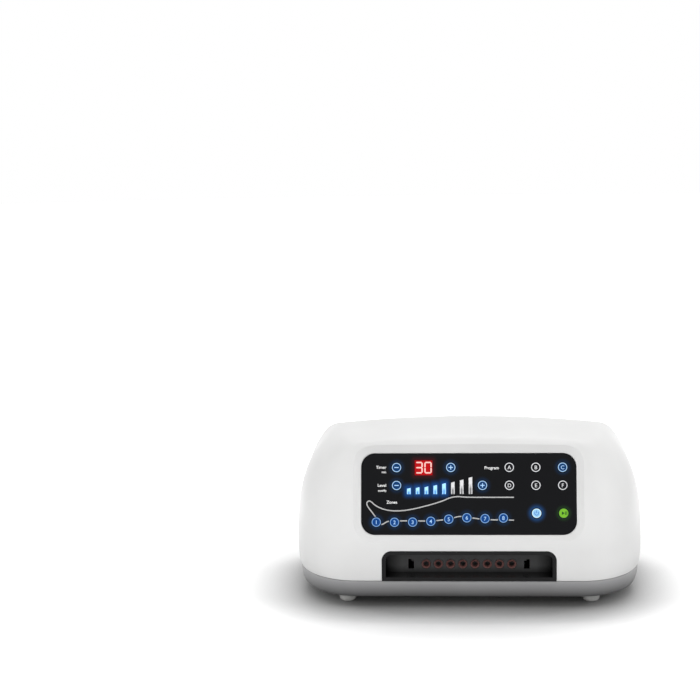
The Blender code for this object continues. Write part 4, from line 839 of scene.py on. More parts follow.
def make_upper_shell():
    boss_width = PANEL_WIDTH + 2 * PANEL_BOSS_MARGIN
    boss_height = PANEL_HEIGHT + 2 * PANEL_BOSS_MARGIN
    plate_boss_size = (plate_width + 2 * PLATE_BOSS_MARGIN, plate_height + 2 * PLATE_BOSS_MARGIN)
    plate_boss = slab(*plate_boss_size, GAP, -OVERRUN, PLATE_BOSS_DEPTH)
    inner = carved(
        "case_hollow",
        case_form(CASE_WALL, seam_top - OVERRUN),
        [
            cut(slab(boss_width, boss_height, GAP, -OVERRUN, PANEL_BOSS_DEPTH), PANEL),
            cut(plate_boss, REAR),
            cut(post_rods(CREST_HEIGHT + OVERRUN, POST_RADIUS)),
        ],
    )
    window_size = (PANEL_WIDTH - 2 * PANEL_LEDGE, PANEL_HEIGHT - 2 * PANEL_LEDGE)
    window = slab(*window_size, PANEL_LEDGE, PANEL_SET_IN, PANEL_BOSS_DEPTH + OVERRUN)
    bay_hole_size = (bay_width + 2 * GAP, bay_height + GAP + OVERRUN, BAY_CORNER + GAP)
    bay_hole = slab(*bay_hole_size, -OVERRUN, OVERRUN, 12, square_below=True)
    bay_place = BAY @ Matrix.Translation((0, (GAP - OVERRUN) / 2, 0))
    pocket_size = (plate_width + 2 * GAP, plate_height + 2 * GAP, PLATE_CORNER + GAP)
    plate_pocket = slab(*pocket_size, -OVERRUN, plate_inward + GAP)
    plate_window_size = (plate_width - 2 * PLATE_LEDGE, plate_height - 2 * PLATE_LEDGE)
    plate_window = slab(*plate_window_size, GAP, 0, plate_inward + OVERRUN)
    mesh = carved(
        "white_case",
        case_form(0.0, seam_top, SEAM_EASE),
        [
            cut(as_form(inner)),
            cut(border_cutter(), PANEL),
            cut(window, PANEL),
            cut(bay_hole, bay_place),
            cut(plate_pocket, REAR),
            cut(plate_window, REAR),
            cut(post_rods(seam_top + SCREW_REACH + GAP, SCREW_SHANK_RADIUS + GAP)),
        ],
    )
    dress("white_case", mesh, [white_shell], stands_for=["upper_shell"], sharp=19)


# Lower shell, feet and screws


def base_form(inset, raise_top=0.0):
    rings = []
    for step in range(BASE_STEPS + 1):
        angle = math.pi / 2 * (1 - step / BASE_STEPS)
        drop = (SEAM_HEIGHT - base_low - inset) * math.sin(angle)
        round_in = BASE_ROUND * (1 - math.cos(angle))
        rings.append(ringed(outline(SEAM_HEIGHT, inset + round_in), SEAM_HEIGHT - drop))
    if raise_top:
        rings.append(rings[-1] + np.array([0, 0, raise_top]))
    else:
        rings[-1] = rings[-1] - np.array([0, 0, SEAM_EASE])
        rings.append(ringed(outline(SEAM_HEIGHT, inset + SEAM_EASE), SEAM_HEIGHT))
    return loft(bmesh.new(), rings)


def make_lower_shell():
    posts = post_rods(SEAM_HEIGHT, BOSS_RADIUS)
    board_low, board_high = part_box("main_board")
    for x in (board_low.x + STANDOFF_INSET, board_high.x - STANDOFF_INSET):
        for y in (board_low.y + STANDOFF_INSET, board_high.y - STANDOFF_INSET):
            put_rod(posts, (x, y, 0), (x, y, board_low.z - GAP), STANDOFF_RADIUS, 24)
    inner = carved("base_hollow", base_form(BASE_WALL, OVERRUN), [cut(posts)])
    valve_low, valve_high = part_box("valve_manifold")
    valve_posts = bmesh.new()
    middle_y = (valve_low.y + MANIFOLD_NOZZLE_LENGTH + valve_high.y) / 2
    for x in (valve_low.x + MANIFOLD_POST_INSET, valve_high.x - MANIFOLD_POST_INSET):
        start = (x, middle_y, base_low + BASE_WALL / 2)
        put_rod(valve_posts, start, (x, middle_y, valve_low.z - GAP), MANIFOLD_POST_RADIUS, 24)
    seats = post_rods(base_low + SCREW_HEAD_SEAT + GAP, SCREW_HEAD_RADIUS + GAP)
    feet = bmesh.new()
    for x, y in foot_places.values():
        put_rod(feet, (x, y, -OVERRUN), (x, y, base_low + FOOT_SEAT_DEPTH + GAP), FOOT_RADIUS + GAP, 48)
    vents = bmesh.new()
    pump_low, pump_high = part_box("compressor_body")
    pump_middle = (pump_low + pump_high) / 2
    for step in range(VENT_COUNT):
        y = pump_middle.y + VENT_PITCH * (step - (VENT_COUNT - 1) / 2)
        reach = (VENT_LENGTH - VENT_WIDTH) / 2
        low = (pump_middle.x - reach, y - VENT_WIDTH / 2, 0)
        put_block(vents, low, (pump_middle.x + reach, y + VENT_WIDTH / 2, base_low + BASE_WALL + OVERRUN))
    mesh = carved(
        "grey_base",
        base_form(0.0),
        [
            cut(as_form(inner)),
            ("UNION", valve_posts, IN_PLACE),
            cut(post_rods(SEAM_HEIGHT + OVERRUN, SCREW_SHANK_RADIUS + GAP)),
            cut(seats),
            cut(feet),
            cut(vents),
        ],
    )
    dress("grey_base", mesh, [grey_shell], stands_for=["lower_shell"], sharp=24)


def make_feet():
    top = base_low + FOOT_SEAT_DEPTH
    profile = [(0, top), *arc((FOOT_RADIUS - FOOT_EDGE, top - FOOT_EDGE), FOOT_EDGE, 90, 0, 3)]
    inward, upward = FOOT_ROUND
    quarter = arc((0, 0), 1, 0, -90, 10)
    profile += [(FOOT_RADIUS - inward * (1 - x), upward * (1 + y)) for x, y in quarter]
    profile.append((0, 0))
    for name, (x, y) in foot_places.items():
        mesh = to_mesh(name, turned(bmesh.new(), profile, 64))
        place = Matrix.Translation((x, y, 0))
        dress(f"rubber_{name}", mesh, [foot_rubber], place, [name])


def make_screws():
    head_top = base_low + SCREW_HEAD_SEAT
    head_low = head_top - SCREW_HEAD_HEIGHT
    tip = seam_top + SCREW_REACH
    profile = [(0, tip), (SCREW_SHANK_RADIUS, tip), (SCREW_SHANK_RADIUS, head_top)]
    profile += [(SCREW_HEAD_RADIUS, head_top), (SCREW_HEAD_RADIUS, head_low + SCREW_EDGE)]
    profile += [(SCREW_HEAD_RADIUS - SCREW_EDGE, head_low), (0, head_low)]
    half, reach = SCREW_RECESS_WIDTH / 2, SCREW_RECESS_LENGTH / 2
    recess_low, recess_high = head_low - OVERRUN, head_low + SCREW_RECESS_DEPTH
    for name, (x, y) in zip(SCREW_NAMES, post_places):
        steps = []
        for x_half, y_half in ((reach, half), (half, reach)):
            low, high = (-x_half, -y_half, recess_low), (x_half, y_half, recess_high)
            steps.append(cut(put_block(bmesh.new(), low, high)))
        mesh = carved(name, turned(bmesh.new(), profile, 40), steps)
        place = Matrix.Translation((x, y, 0))
        dress(f"cross_head_{name}", mesh, [zinc_steel], place, [name])


# Control panel


def key_place(name):
    across, up = KEY_PLACE_SHARES[name]
    return across * PANEL_WIDTH, up * PANEL_HEIGHT


def bar_shape(step, grow=0.0):
    """One pressure bar's outline, in the panel's frame."""
    middle = BAR_PLACE_SHARES[0] * PANEL_WIDTH + BAR_PITCH * step
    bottom = BAR_PLACE_SHARES[1] * PANEL_HEIGHT - grow
    top = BAR_PLACE_SHARES[1] * PANEL_HEIGHT + BAR_TALLEST * BAR_HEIGHT_SHARES[step] + grow
    left, right = middle - BAR_WIDTH / 2 - grow, middle + BAR_WIDTH / 2 + grow
    return [(left, bottom), (right, bottom), (right, top), (left, top - BAR_SLANT)]


def put_prism(build, shape, low, high):
    """A flat outline given thickness."""
    return loft(build, [[(x, y, z) for x, y in shape] for z in (low, high)])


def key_holes():
    build = bmesh.new()
    for name in KEY_PLACE_SHARES:
        x, y = key_place(name)
        put_rod(build, (x, y, 0), (x, y, -PANEL_BOSS_DEPTH), KEY_RADIUS + GAP, 48)
    return build


def make_panel():
    slots = bmesh.new()
    for step in range(len(BAR_HEIGHT_SHARES)):
        put_prism(slots, bar_shape(step, GAP), -PANEL_BOSS_DEPTH, 0)
    window = slab(DISPLAY_WIDTH + 2 * GAP, DISPLAY_HEIGHT + 2 * GAP, DISPLAY_CORNER, 0, PANEL_BOSS_DEPTH)
    body = eased_slab(PANEL_WIDTH, PANEL_HEIGHT, PANEL_CORNER, panel_back, PANEL_SET_IN, PANEL_EDGE, 12)
    mesh = carved(
        "gloss_panel",
        body,
        [
            cut(key_holes()),
            cut(slots),
            cut(window, Matrix.Translation((*display_place, 0))),
        ],
    )
    dress("gloss_panel", mesh, [gloss_panel], PANEL, ["control_panel"])


def write(text, height, heft, align="CENTER"):
    """Plain lettering as a thin mesh, its baseline on the origin."""
    words = bpy.data.curves.new(text, "FONT")
    words.body = text
    words.size = height / CAP_HEIGHT_SHARE
    words.offset = heft
    words.align_x = align
    words.extrude = INK / 2
    thing = bpy.data.objects.new(text, words)
    bpy.context.scene.collection.objects.link(thing)
    bpy.context.view_layer.update()
    mesh = bpy.data.meshes.new_from_object(thing.evaluated_get(bpy.context.evaluated_depsgraph_get()))
    bpy.data.objects.remove(thing)
    return mesh


def minus_mark():
    build = bmesh.new()
    put_block(build, (-SIGN_LENGTH / 2, -SIGN_WIDTH / 2, 0), (SIGN_LENGTH / 2, SIGN_WIDTH / 2, INK))
    return to_mesh("minus", build)


def plus_mark():
    long, wide = SIGN_LENGTH / 2, SIGN_WIDTH / 2
    arm = [(wide, wide), (wide, long), (-wide, long), (-wide, wide), (-long, wide), (-long, -wide)]
    shape = arm + [(-x, -y) for x, y in arm]
    return to_mesh("plus", put_prism(bmesh.new(), shape, 0, INK))


def power_mark():
    build = bmesh.new()
    outer = arc((0, 0), POWER_MARK_RADIUS, 130, 410, 36)
    inner = arc((0, 0), POWER_MARK_RADIUS - POWER_MARK_LINE, 130, 410, 36)
    for i in range(len(outer) - 1):
        put_prism(build, [inner[i], outer[i], outer[i + 1], inner[i + 1]], 0, INK)
    half = POWER_MARK_LINE / 2
    put_block(build, (-half, 0, 0), (half, POWER_MARK_RADIUS + half, INK))
    return to_mesh("power", build)


def play_pause_mark():
    build = bmesh.new()
    tall = PLAY_MARK_HEIGHT / 2
    put_prism(build, [(-tall, -tall), (tall * PLAY_TIP_SHARE, 0), (-tall, tall)], 0, INK)
    for place in (PLAY_BAR_START, PLAY_BAR_START + 2 * PLAY_BAR_WIDTH):
        put_block(build, (place, -tall, 0), (place + PLAY_BAR_WIDTH, tall, INK))
    return to_mesh("play_pause", build)


def key_mark(name):
    """The mark on a key, and how far its middle is lifted to sit centred."""
    if "minus" in name:
        return minus_mark(), 0
    if "plus" in name:
        return plus_mark(), 0
    if name == "power_button":
        return power_mark(), 0
    if name == "start_button":
        return play_pause_mark(), 0
    sign = name.split("_")[1].upper()
    return write(sign, MARK_HEIGHT, MARK_HEFT), -MARK_HEIGHT / 2


def make_keys():
    face = KEY_PROUD - PANEL_SET_IN
    flange_front = -panel_back - GAP
    key_back = flange_front - KEY_FLANGE_THICKNESS
    profile = [(0, face), *arc((KEY_RADIUS - KEY_EDGE, face - KEY_EDGE), KEY_EDGE, 90, 0, 4)]
    profile += [(KEY_RADIUS, flange_front), (KEY_FLANGE_RADIUS, flange_front)]
    profile += [(KEY_FLANGE_RADIUS, key_back), (0, key_back)]
    for name in KEY_PLACE_SHARES:
        x, y = key_place(name)
        label = name.removesuffix("_button")
        body = f"{label}_key"
        place = PANEL @ Matrix.Translation((x, y, 0))
        cap_finish, ink, slot = KEY_LOOKS.get(label, lit_look)
        mesh = to_mesh(label, turned(bmesh.new(), profile, 64))
        dress(f"cap_{label}", mesh, [cap_finish], place, [name], body)
        mark, lift = key_mark(name)
        above = place @ Matrix.Translation((0, lift, face + INK / 2))
        dress(f"mark_{label}", mark, [ink], above, body=body)


# Display, bars, leg outline and words


def put_segment(build, x, y, length, upright):
    """One bar of a digit, pointed at both ends."""
    half, thick = length / 2 - SEGMENT_GAP, SEGMENT / 2
    shape = [(-half, 0), (thick - half, -thick), (half - thick, -thick), (half, 0), (half - thick, thick)]
    shape.append((thick - half, thick))
    if upright:
        shape = [(-b, a) for a, b in shape]
    put_prism(build, [(x + a, y + b) for a, b in shape], 0, INK)


def put_digit(build, middle, lit):
    tall = (DIGIT_HEIGHT - SEGMENT) / 2
    wide = (DIGIT_WIDTH - SEGMENT) / 2
    spots = {"a": (0, tall), "g": (0, 0), "d": (0, -tall)}
    sides = {"b": (wide, tall / 2), "c": (wide, -tall / 2), "f": (-wide, tall / 2), "e": (-wide, -tall / 2)}
    for segment in lit:
        upright = segment in sides
        x, y = (sides if upright else spots)[segment]
        put_segment(build, middle + x, y, tall if upright else 2 * wide, upright)


def make_display():
    face = PANEL_SET_IN + FACE_SET_IN
    body = eased_slab(DISPLAY_WIDTH, DISPLAY_HEIGHT, DISPLAY_CORNER, panel_back + DISPLAY_DEPTH, face, GAP)
    place = PANEL @ Matrix.Translation((*display_place, 0))
    mesh = to_mesh("display_window", body)
    dress("display_window", mesh, [red_ground], place, ["time_display"])
    digits = bmesh.new()
    put_digit(digits, -DIGIT_PITCH / 2, "abcdg")
    put_digit(digits, DIGIT_PITCH / 2, "abcdef")
    above = place @ Matrix.Translation((0, 0, -face))
    dress("display_digits", to_mesh("display_digits", digits), [digit_light], above)


def make_bars():
    plate_front = -panel_back - GAP
    first = bar_shape(0, BAR_MARGIN)
    last = bar_shape(len(BAR_HEIGHT_SHARES) - 1, BAR_MARGIN)
    guide = put_block(bmesh.new(), (*first[0], plate_front - GUIDE_THICKNESS), (*last[2], plate_front))
    mesh = to_mesh("light_plate", guide)
    dress("light_plate", mesh, [light_plate], PANEL, ["bar_light_guide"])
    for step in range(len(BAR_HEIGHT_SHARES)):
        build = put_prism(bmesh.new(), bar_shape(step), plate_front, -PANEL_SET_IN - FACE_SET_IN)
        finish = lit_bar if step < LIT_BARS else plain_bar
        mesh = carved(f"bar_{step + 1}", build, [], BAR_EDGE)
        dress(f"bar_{step + 1}", mesh, [finish], PANEL)


def between(a, b, c, d, t):
    """The smooth curve through b and c, at the share t of the way."""
    return 0.5 * (2 * b + (c - a) * t + (2 * a - 5 * b + 4 * c - d) * t**2 + (3 * b - a - 3 * c + d) * t**3)


def smoothed(points, steps=8):
    """A smooth run through the points."""
    ends = [points[0], *points, points[-1]]
    run = []
    for four in zip(ends, ends[1:], ends[2:], ends[3:]):
        for step in range(steps):
            run.append(tuple(between(*values, step / steps) for values in zip(*four)))
    return [*run, points[-1]]


def put_line(build, points, width, low, high):
    """A printed line of even width along a run of points."""
    rows = []
    for i, point in enumerate(points):
        before, after = points[max(i - 1, 0)], points[min(i + 1, len(points) - 1)]
        along = Vector((after[0] - before[0], after[1] - before[1])).normalized() * width / 2
        left = (point[0] - along.y, point[1] + along.x)
        right = (point[0] + along.y, point[1] - along.x)
        rows.append([(*left, low), (*right, low), (*right, high), (*left, high)])
    loft(build, rows)


def make_prints():
    print_level = -PANEL_SET_IN + INK / 2
    lines = bmesh.new()
    for run in LEG_RUNS:
        points = smoothed([(across * PANEL_WIDTH, up * PANEL_HEIGHT) for across, up in run])
        put_line(lines, points, LINE_WIDTH, -PANEL_SET_IN, print_level + INK / 2)
    mesh = carved("leg_outline", lines, [cut(key_holes())])
    dress("leg_outline", mesh, [grey_ink], PANEL)
    for name, text, height, align, (across, up) in WORDS:
        mesh = write(text, height, WORD_HEFT, align)
        place = PANEL @ Matrix.Translation((across * PANEL_WIDTH, up * PANEL_HEIGHT, print_level))
        dress(name, mesh, [white_ink], place)


# Port bay and its outlets


def outlet_holes(front, back, radius):
    build = bmesh.new()
    for x in outlet_places:
        put_rod(build, (x, front - OVERRUN, outlet_height), (x, back + OVERRUN, outlet_height), radius, 48)
    return build


def make_bay():
    body = slab(bay_width, bay_height, BAY_CORNER, 0, bay_depth, 12, square_below=True)
    hollow_size = (bay_width - 2 * BAY_WALL, bay_height - 2 * BAY_WALL, BAY_CORNER - BAY_WALL)
    hollow = slab(*hollow_size, -OVERRUN, bay_depth - BAY_BACK_WALL, 10, square_below=True)
    holes = outlet_holes(bay_back - BAY_BACK_WALL, bay_back, COLLAR_RADIUS + GAP)
    steps = [cut(hollow), cut(holes, BAY.inverted())]
    low = outlet_height - LATCH_HEIGHT / 2
    top = low + LATCH_HEIGHT
    for side in (-1, 1):
        outer = side * (LATCH_OFFSET + LATCH_WIDTH / 2)
        inner = side * (LATCH_OFFSET - LATCH_WIDTH / 2)
        notch = inner + side * LATCH_NOTCH_WIDTH
        shape = [(inner, low), (outer, low), (outer, top), (notch, top)]
        shape += [(notch, top - LATCH_NOTCH_HEIGHT), (inner, top - LATCH_NOTCH_HEIGHT)]
        depths = (bay_back - bay_depth / 2, bay_back + OVERRUN)
        slot = loft(bmesh.new(), [[(x, y, z) for x, z in shape] for y in depths])
        bmesh.ops.recalc_face_normals(slot, faces=slot.faces)
        steps.append(cut(slot, BAY.inverted()))
    mesh = carved("bay_tray", body, steps, BAY_EDGE)
    dress("bay_tray", mesh, [bay_gloss], BAY, ["port_bay"])
    arrow = put_prism(bmesh.new(), [(-ARROW_SIZE, ARROW_SIZE), (0, 0), (ARROW_SIZE, ARROW_SIZE)], 0, INK)
    wall = Matrix.Translation((0, bay_back - BAY_BACK_WALL, outlet_height + ARROW_LIFT)) @ FACING_FRONT
    dress("bay_arrow", to_mesh("bay_arrow", arrow), [dark_ink], wall)


def make_seal():
    """The seal behind the bay's back wall, with a collar standing through each hole."""
    front = bay_back - BAY_BACK_WALL - COLLAR_PROUD
    length = gasket_high.y - front
    lip = COLLAR_LIP / 2
    round_lip = arc((COLLAR_RADIUS - lip, length - lip), lip, 0, 180, 10)
    profile = [(OUTLET_BORE_RADIUS, 0), (COLLAR_RADIUS, 0), *round_lip]
    profile += [(OUTLET_BORE_RADIUS, length - COLLAR_CONE), (OUTLET_BORE_RADIUS, 0)]
    build = bmesh.new()
    for x in outlet_places:
        place = Matrix.Translation((x, gasket_high.y, outlet_height)) @ FACING_FRONT
        turned(build, profile, 48, place)
    holes = outlet_holes(gasket_low.y, gasket_high.y, (COLLAR_RADIUS + OUTLET_BORE_RADIUS) / 2)
    low = (gasket_low.x, gasket_high.y - GASKET_THICKNESS, gasket_low.z)
    plate = put_block(bmesh.new(), low, gasket_high)
    mesh = carved("seal_plate", plate, [cut(holes)])
    dress("seal_plate", mesh, [seal_rubber], stands_for=["outlet_gasket"])
    # Painted shade: the faces inside each collar's lit lip take a near-black finish, so the bores read dark.
    for face in build.faces:
        middle = face.calc_center_median()
        away = min(math.hypot(middle.x - x, middle.z - outlet_height) for x in outlet_places)
        face.material_index = int(away < COLLAR_RADIUS - COLLAR_LIP * COLLAR_LIT_SHARE)
    collars = to_mesh("seal_collars", build)
    dress("seal_collars", collars, [seal_rubber, bore_painted_shade], stands_for=["outlet_gasket"])


# Solids that keep their own shape


def keep(finish, ease, *nodes, sharp=35.0):
    """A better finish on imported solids, with their edges eased."""
    for node in nodes:
        solid = bpy.data.objects[node]
        for slot in solid.material_slots:
            slot.material = finish
        solid.data.shade_smooth()
        solid.data.set_sharp_from_angle(angle=math.radians(sharp))
        round_off = solid.modifiers.new("ease", "BEVEL")
        round_off.width = ease
        round_off.segments = 2
        round_off.limit_method = "ANGLE"
        round_off.angle_limit = math.radians(sharp)


# Floor, light and camera


def make_floor():
    build = bmesh.new()
    bmesh.ops.create_circle(build, cap_ends=True, segments=96, radius=FLOOR_RADIUS)
    floor = bpy.data.objects.new("floor", to_mesh("floor", build))
    bpy.context.scene.collection.objects.link(floor)
    finish = Finish("floor")
    finish.gloss(0.55, 0.02, 3.0)
    finish.link("Specular IOR Level", 0.1)
    path = finish.add("ShaderNodeLightPath")
    seen = finish.arith("MAXIMUM", path.outputs["Is Camera Ray"], path.outputs["Is Glossy Ray"])
    seen = finish.arith("MAXIMUM", seen, path.outputs["Is Transmission Ray"])
    # Painted shadow: the floor as seen is darkened where occlusion toward the back and above meets the case.
    toward = finish.add("ShaderNodeCombineXYZ", {i: value for i, value in enumerate(SHADOW_FROM)})
    inputs = {"Distance": SHADOW_REACH, "Normal": toward.outputs[0]}
    painted_shadow_mask = finish.add("ShaderNodeAmbientOcclusion", inputs, samples=12).outputs["AO"]
    pale = finish.mix(painted_shadow_mask, (0, 0, 0, 1), (*[FLOOR_SEEN] * 3, 1))
    finish.link("Base Color", finish.mix(seen, (*[FLOOR_GIVEN] * 3, 1), pale))
    finish.link("Emission Color", (1, 1, 1, 1))
    far = finish.ramp(finish.radius(), FLOOR_FADE_START, FLOOR_FADE_END)
    finish.link("Emission Strength", finish.arith("MULTIPLY", seen, far))
    floor.data.materials.append(finish.material)


def make_world():
    world = bpy.data.worlds.new("studio")
    world.use_nodes = True
    bpy.context.scene.world = world
    tree = world.node_tree
    ground = tree.nodes["Background"]
    ground.inputs["Color"].default_value = (1, 1, 1, 1)
    direction = tree.nodes.new("ShaderNodeTexCoord")
    parts = tree.nodes.new("ShaderNodeSeparateXYZ")
    tree.links.new(direction.outputs["Generated"], parts.inputs[0])
    level = tree.nodes.new("ShaderNodeMapRange")
    level.inputs["From Max"].default_value = SKY_TURN
    level.inputs["To Min"].default_value = SKY_LOW
    level.inputs["To Max"].default_value = SKY_HIGH
    tree.links.new(parts.outputs["Z"], level.inputs["Value"])
    path = tree.nodes.new("ShaderNodeLightPath")
    strength = level.outputs["Result"]
    for ray in ("Is Camera Ray", "Is Glossy Ray", "Is Transmission Ray"):
        brighter = tree.nodes.new("ShaderNodeMath")
        brighter.operation = "MAXIMUM"
        tree.links.new(strength, brighter.inputs[0])
        tree.links.new(path.outputs[ray], brighter.inputs[1])
        strength = brighter.outputs[0]
    tree.links.new(strength, ground.inputs["Strength"])


def make_lamp(name, place, aim, size, energy):
    data = bpy.data.lights.new(name, "AREA")
    data.shape = "RECTANGLE"
    data.size, data.size_y = size
    data.energy = energy
    lamp = bpy.data.objects.new(name, data)
    lamp.visible_glossy = False
    bpy.context.scene.collection.objects.link(lamp)
    place, aim = Vector(place), Vector(aim)
    turn = (aim - place).to_track_quat("-Z", "Y").to_matrix().to_4x4()
    lamp.matrix_world = Matrix.Translation(place) @ turn


def make_camera():
    data = bpy.data.cameras.new("camera")
    data.lens = LENS
    data.sensor_width = SENSOR
    data.clip_end = 20
    camera = bpy.data.objects.new("camera", data)
    bpy.context.scene.collection.objects.link(camera)
    focal = LENS / SENSOR * IMAGE_SIDE
    away = Vector((0, -math.cos(VIEW_ELEVATION), math.sin(VIEW_ELEVATION)))
    level = Matrix.Rotation(math.pi / 2 - VIEW_ELEVATION, 3, "X")
    half = IMAGE_SIDE / 2
    aimed = Vector(((AIM_PIXEL[0] - half) / focal, (half - AIM_PIXEL[1]) / focal, -1)).normalized()
    swing = Vector((0, 0, -1)).rotation_difference(aimed).to_matrix()
    turn = Matrix.Rotation(ROLL, 3, away) @ level @ swing.transposed()
    camera.matrix_world = Matrix.Translation(AIM + away * VIEW_DISTANCE) @ turn.to_4x4()
    bpy.context.scene.camera = camera
    bpy.context.scene.view_settings.view_transform = "Standard"


def glow_on(finish, spots, colour, inner, outer, total):
    """Adds a soft light of this colour around places on the panel."""
    nearest = None
    for middle, half in spots:
        away = finish.vector("ABSOLUTE", finish.vector("SUBTRACT", finish.place, (*middle, 0)))
        length = finish.length(finish.vector("MAXIMUM", finish.vector("SUBTRACT", away, (*half, 1))))
        nearest = length if nearest is None else finish.arith("MINIMUM", nearest, length)
    share = finish.ramp(nearest, outer, inner)
    soft = finish.arith("MULTIPLY", share, share)
    scaled = finish.add("ShaderNodeVectorMath", {0: colour, 3: soft}, operation="SCALE").outputs[0]
    return finish.vector("ADD", total, scaled)


def panel_glows():
    """Each glow: its places with their half sizes, its colour, and where it starts and ends."""
    looks = {name: KEY_LOOKS.get(name.removesuffix("_button"), lit_look) for name in KEY_PLACE_SHARES}
    point = (0, 0)
    lit = [(key_place(name), point) for name, look in looks.items() if look in (lit_look, zone_look)]
    bars = []
    for step in range(LIT_BARS):
        left, _, right, _ = bar_shape(step)
        middle = ((left[0] + right[0]) / 2, (left[1] + right[1]) / 2)
        bars.append((middle, (BAR_WIDTH / 2, (right[1] - left[1]) / 2)))
    display_half = (DISPLAY_WIDTH / 2, DISPLAY_HEIGHT / 2)
    return (
        (lit, (0.0, 0.022, 0.070), 0.0040, 0.0090),
        ([(key_place("power_button"), point)], (0.01, 0.08, 0.26), 0.0040, 0.0098),
        ([(key_place("start_button"), point)], (0.012, 0.05, 0.008), 0.0042, 0.0085),
        (bars, (0.0, 0.050, 0.21), 0.0006, 0.0058),
        ([(display_place, display_half)], (0.055, 0.0, 0.002), 0.0, 0.0055),
    )


def panel_finish():
    finish = Finish("gloss_panel")
    finish.colour((0.0035, 0.0038, 0.0050), 0.1)
    finish.gloss(0.10, 0.03)
    finish.grain(1200.0, 0.0000008)
    finish.link("Specular IOR Level", 0.11)
    total = (0, 0, 0)
    for spots, colour, inner, outer in panel_glows():
        total = glow_on(finish, spots, colour, inner, outer, total)
    finish.link("Emission Color", total)
    finish.link("Emission Strength", 1.0)
    return finish.material


def bar_finish(name, low, high, strength):
    """A bar of the pressure gauge, its colour drawn from its foot to its top."""
    finish = Finish(name)
    finish.gloss(0.25)
    finish.grain(2500.0, 0.000002)
    finish.link("Specular IOR Level", 0.10)
    spot = finish.add("ShaderNodeSeparateXYZ", {0: finish.add("ShaderNodeTexCoord").outputs["Generated"]})
    aside = finish.arith("ABSOLUTE", finish.arith("SUBTRACT", spot.outputs["X"], 0.5))
    across = finish.ramp(aside, *BAR_SHADE_ACROSS)
    shadow = finish.arith("MULTIPLY", across, finish.ramp(spot.outputs["Y"], *BAR_SHADE_UP))
    share = finish.arith("SUBTRACT", 1.0, finish.arith("ADD", shadow, finish.uneven(500.0, -0.04, 0.04)))
    colour = finish.mix(share, (*low, 1.0), (*high, 1.0))
    finish.link("Base Color", colour)
    finish.link("Emission Color", colour)
    finish.link("Emission Strength", strength)
    return finish.material


def red_ground_finish():
    finish = Finish("red_ground")
    finish.gloss(0.18, 0.03)
    finish.grain(2000.0, 0.000001)
    share = finish.ramp(finish.radius(), RED_EVEN_TO, RED_FADED_AT)
    uneven = finish.mix(finish.uneven(350.0), (0.52, 0.002, 0.004, 1), (0.58, 0.004, 0.006, 1))
    colour = finish.mix(share, uneven, (0.40, 0.0, 0.002, 1))
    finish.link("Base Color", (0.05, 0.0, 0.001, 1))
    finish.link("Specular IOR Level", 0.10)
    finish.link("Emission Color", colour)
    finish.link("Emission Strength", 1.0)
    return finish.material


# Finishes
case_white, case_edge = (0.80, 0.80, 0.795), (0.84, 0.84, 0.835)
white_shell = plastic("white_shell", case_white, 0.34, 1500.0, 0.000004, case_edge, 0.35)
grey_shell = base_finish()
foot_rubber = plastic("foot_rubber", (0.40, 0.40, 0.39), 0.16, 1600.0, 0.000003, specular=0.6)
zinc_steel = metal("zinc_steel", (0.62, 0.62, 0.60), 0.32, 900.0, 0.000004)
bay_gloss = bay_finish()
seal_rubber = plastic("seal_rubber", (0.135, 0.062, 0.056), 0.30, 2400.0, 0.000002, specular=0.2)
# Painted shade: near-black for the collars' bores.
bore_painted_shade = plastic("bore_painted_shade", (0.006, 0.0008, 0.0010), 0.50, 2400.0, 0.000002, specular=0.1)
dark_ink = plastic("dark_ink", (0.002, 0.002, 0.002), 0.5, 2400.0, 0.000002)
light_plate = plastic("light_plate", (0.30, 0.31, 0.33), 0.35, 1600.0, 0.000004)
grey_ink = light("grey_ink", (0.44, 0.44, 0.44), (0.40, 0.40, 0.40), 0.25)
white_ink = light("white_ink", (0.75, 0.75, 0.75), (0.60, 0.60, 0.60), 0.45)
lit_ink = light("lit_ink", (0.20, 0.30, 0.42), (0.30, 0.52, 0.82), 0.85)
plain_ink = light("plain_ink", (0.62, 0.63, 0.64), (0.5, 0.5, 0.52), 0.4)
power_ink = light("power_ink", (0.02, 0.10, 0.35), (0.02, 0.12, 0.42), 0.8)
start_ink = light("start_ink", (0.01, 0.05, 0.01), (0.01, 0.06, 0.01), 0.5)
digit_light = light("digit_light", (0.20, 0.08, 0.07), (0.95, 0.66, 0.60), 0.92, 0.03)
red_ground = red_ground_finish()
lit_bar = bar_finish("lit_bar", (0.06, 0.20, 0.46), (0.30, 0.58, 0.92), 0.80)
plain_bar = bar_finish("plain_bar", (0.16, 0.16, 0.165), (0.74, 0.74, 0.75), 0.20)
blue_fill, zone_fill = (0.0, 0.010, 0.030), (0.0, 0.010, 0.040)
lit_cap = key_finish("lit_cap", blue_fill, (0.15, 0.22, 0.30), (0.002, 0.032, 0.125), (0.28, 0.47, 0.72))
zone_cap = key_finish("zone_cap", zone_fill, (0.10, 0.16, 0.26), (0.004, 0.050, 0.22), (0.12, 0.27, 0.54))
dark_fill, dark_glow = (0.004, 0.004, 0.006), (0.002, 0.002, 0.003)
plain_cap = key_finish("plain_cap", dark_fill, (0.6, 0.61, 0.62), dark_glow, (0.28, 0.28, 0.29))
pale_fill, pale_glow = (0.10, 0.16, 0.22), (0.24, 0.50, 0.72)
power_cap = key_finish("power_cap", pale_fill, (0.25, 0.3, 0.35), pale_glow, (0.50, 0.72, 0.85))
green_fill, green_glow = (0.05, 0.12, 0.01), (0.155, 0.43, 0.022)
start_cap = key_finish("start_cap", green_fill, green_fill, green_glow, green_glow)

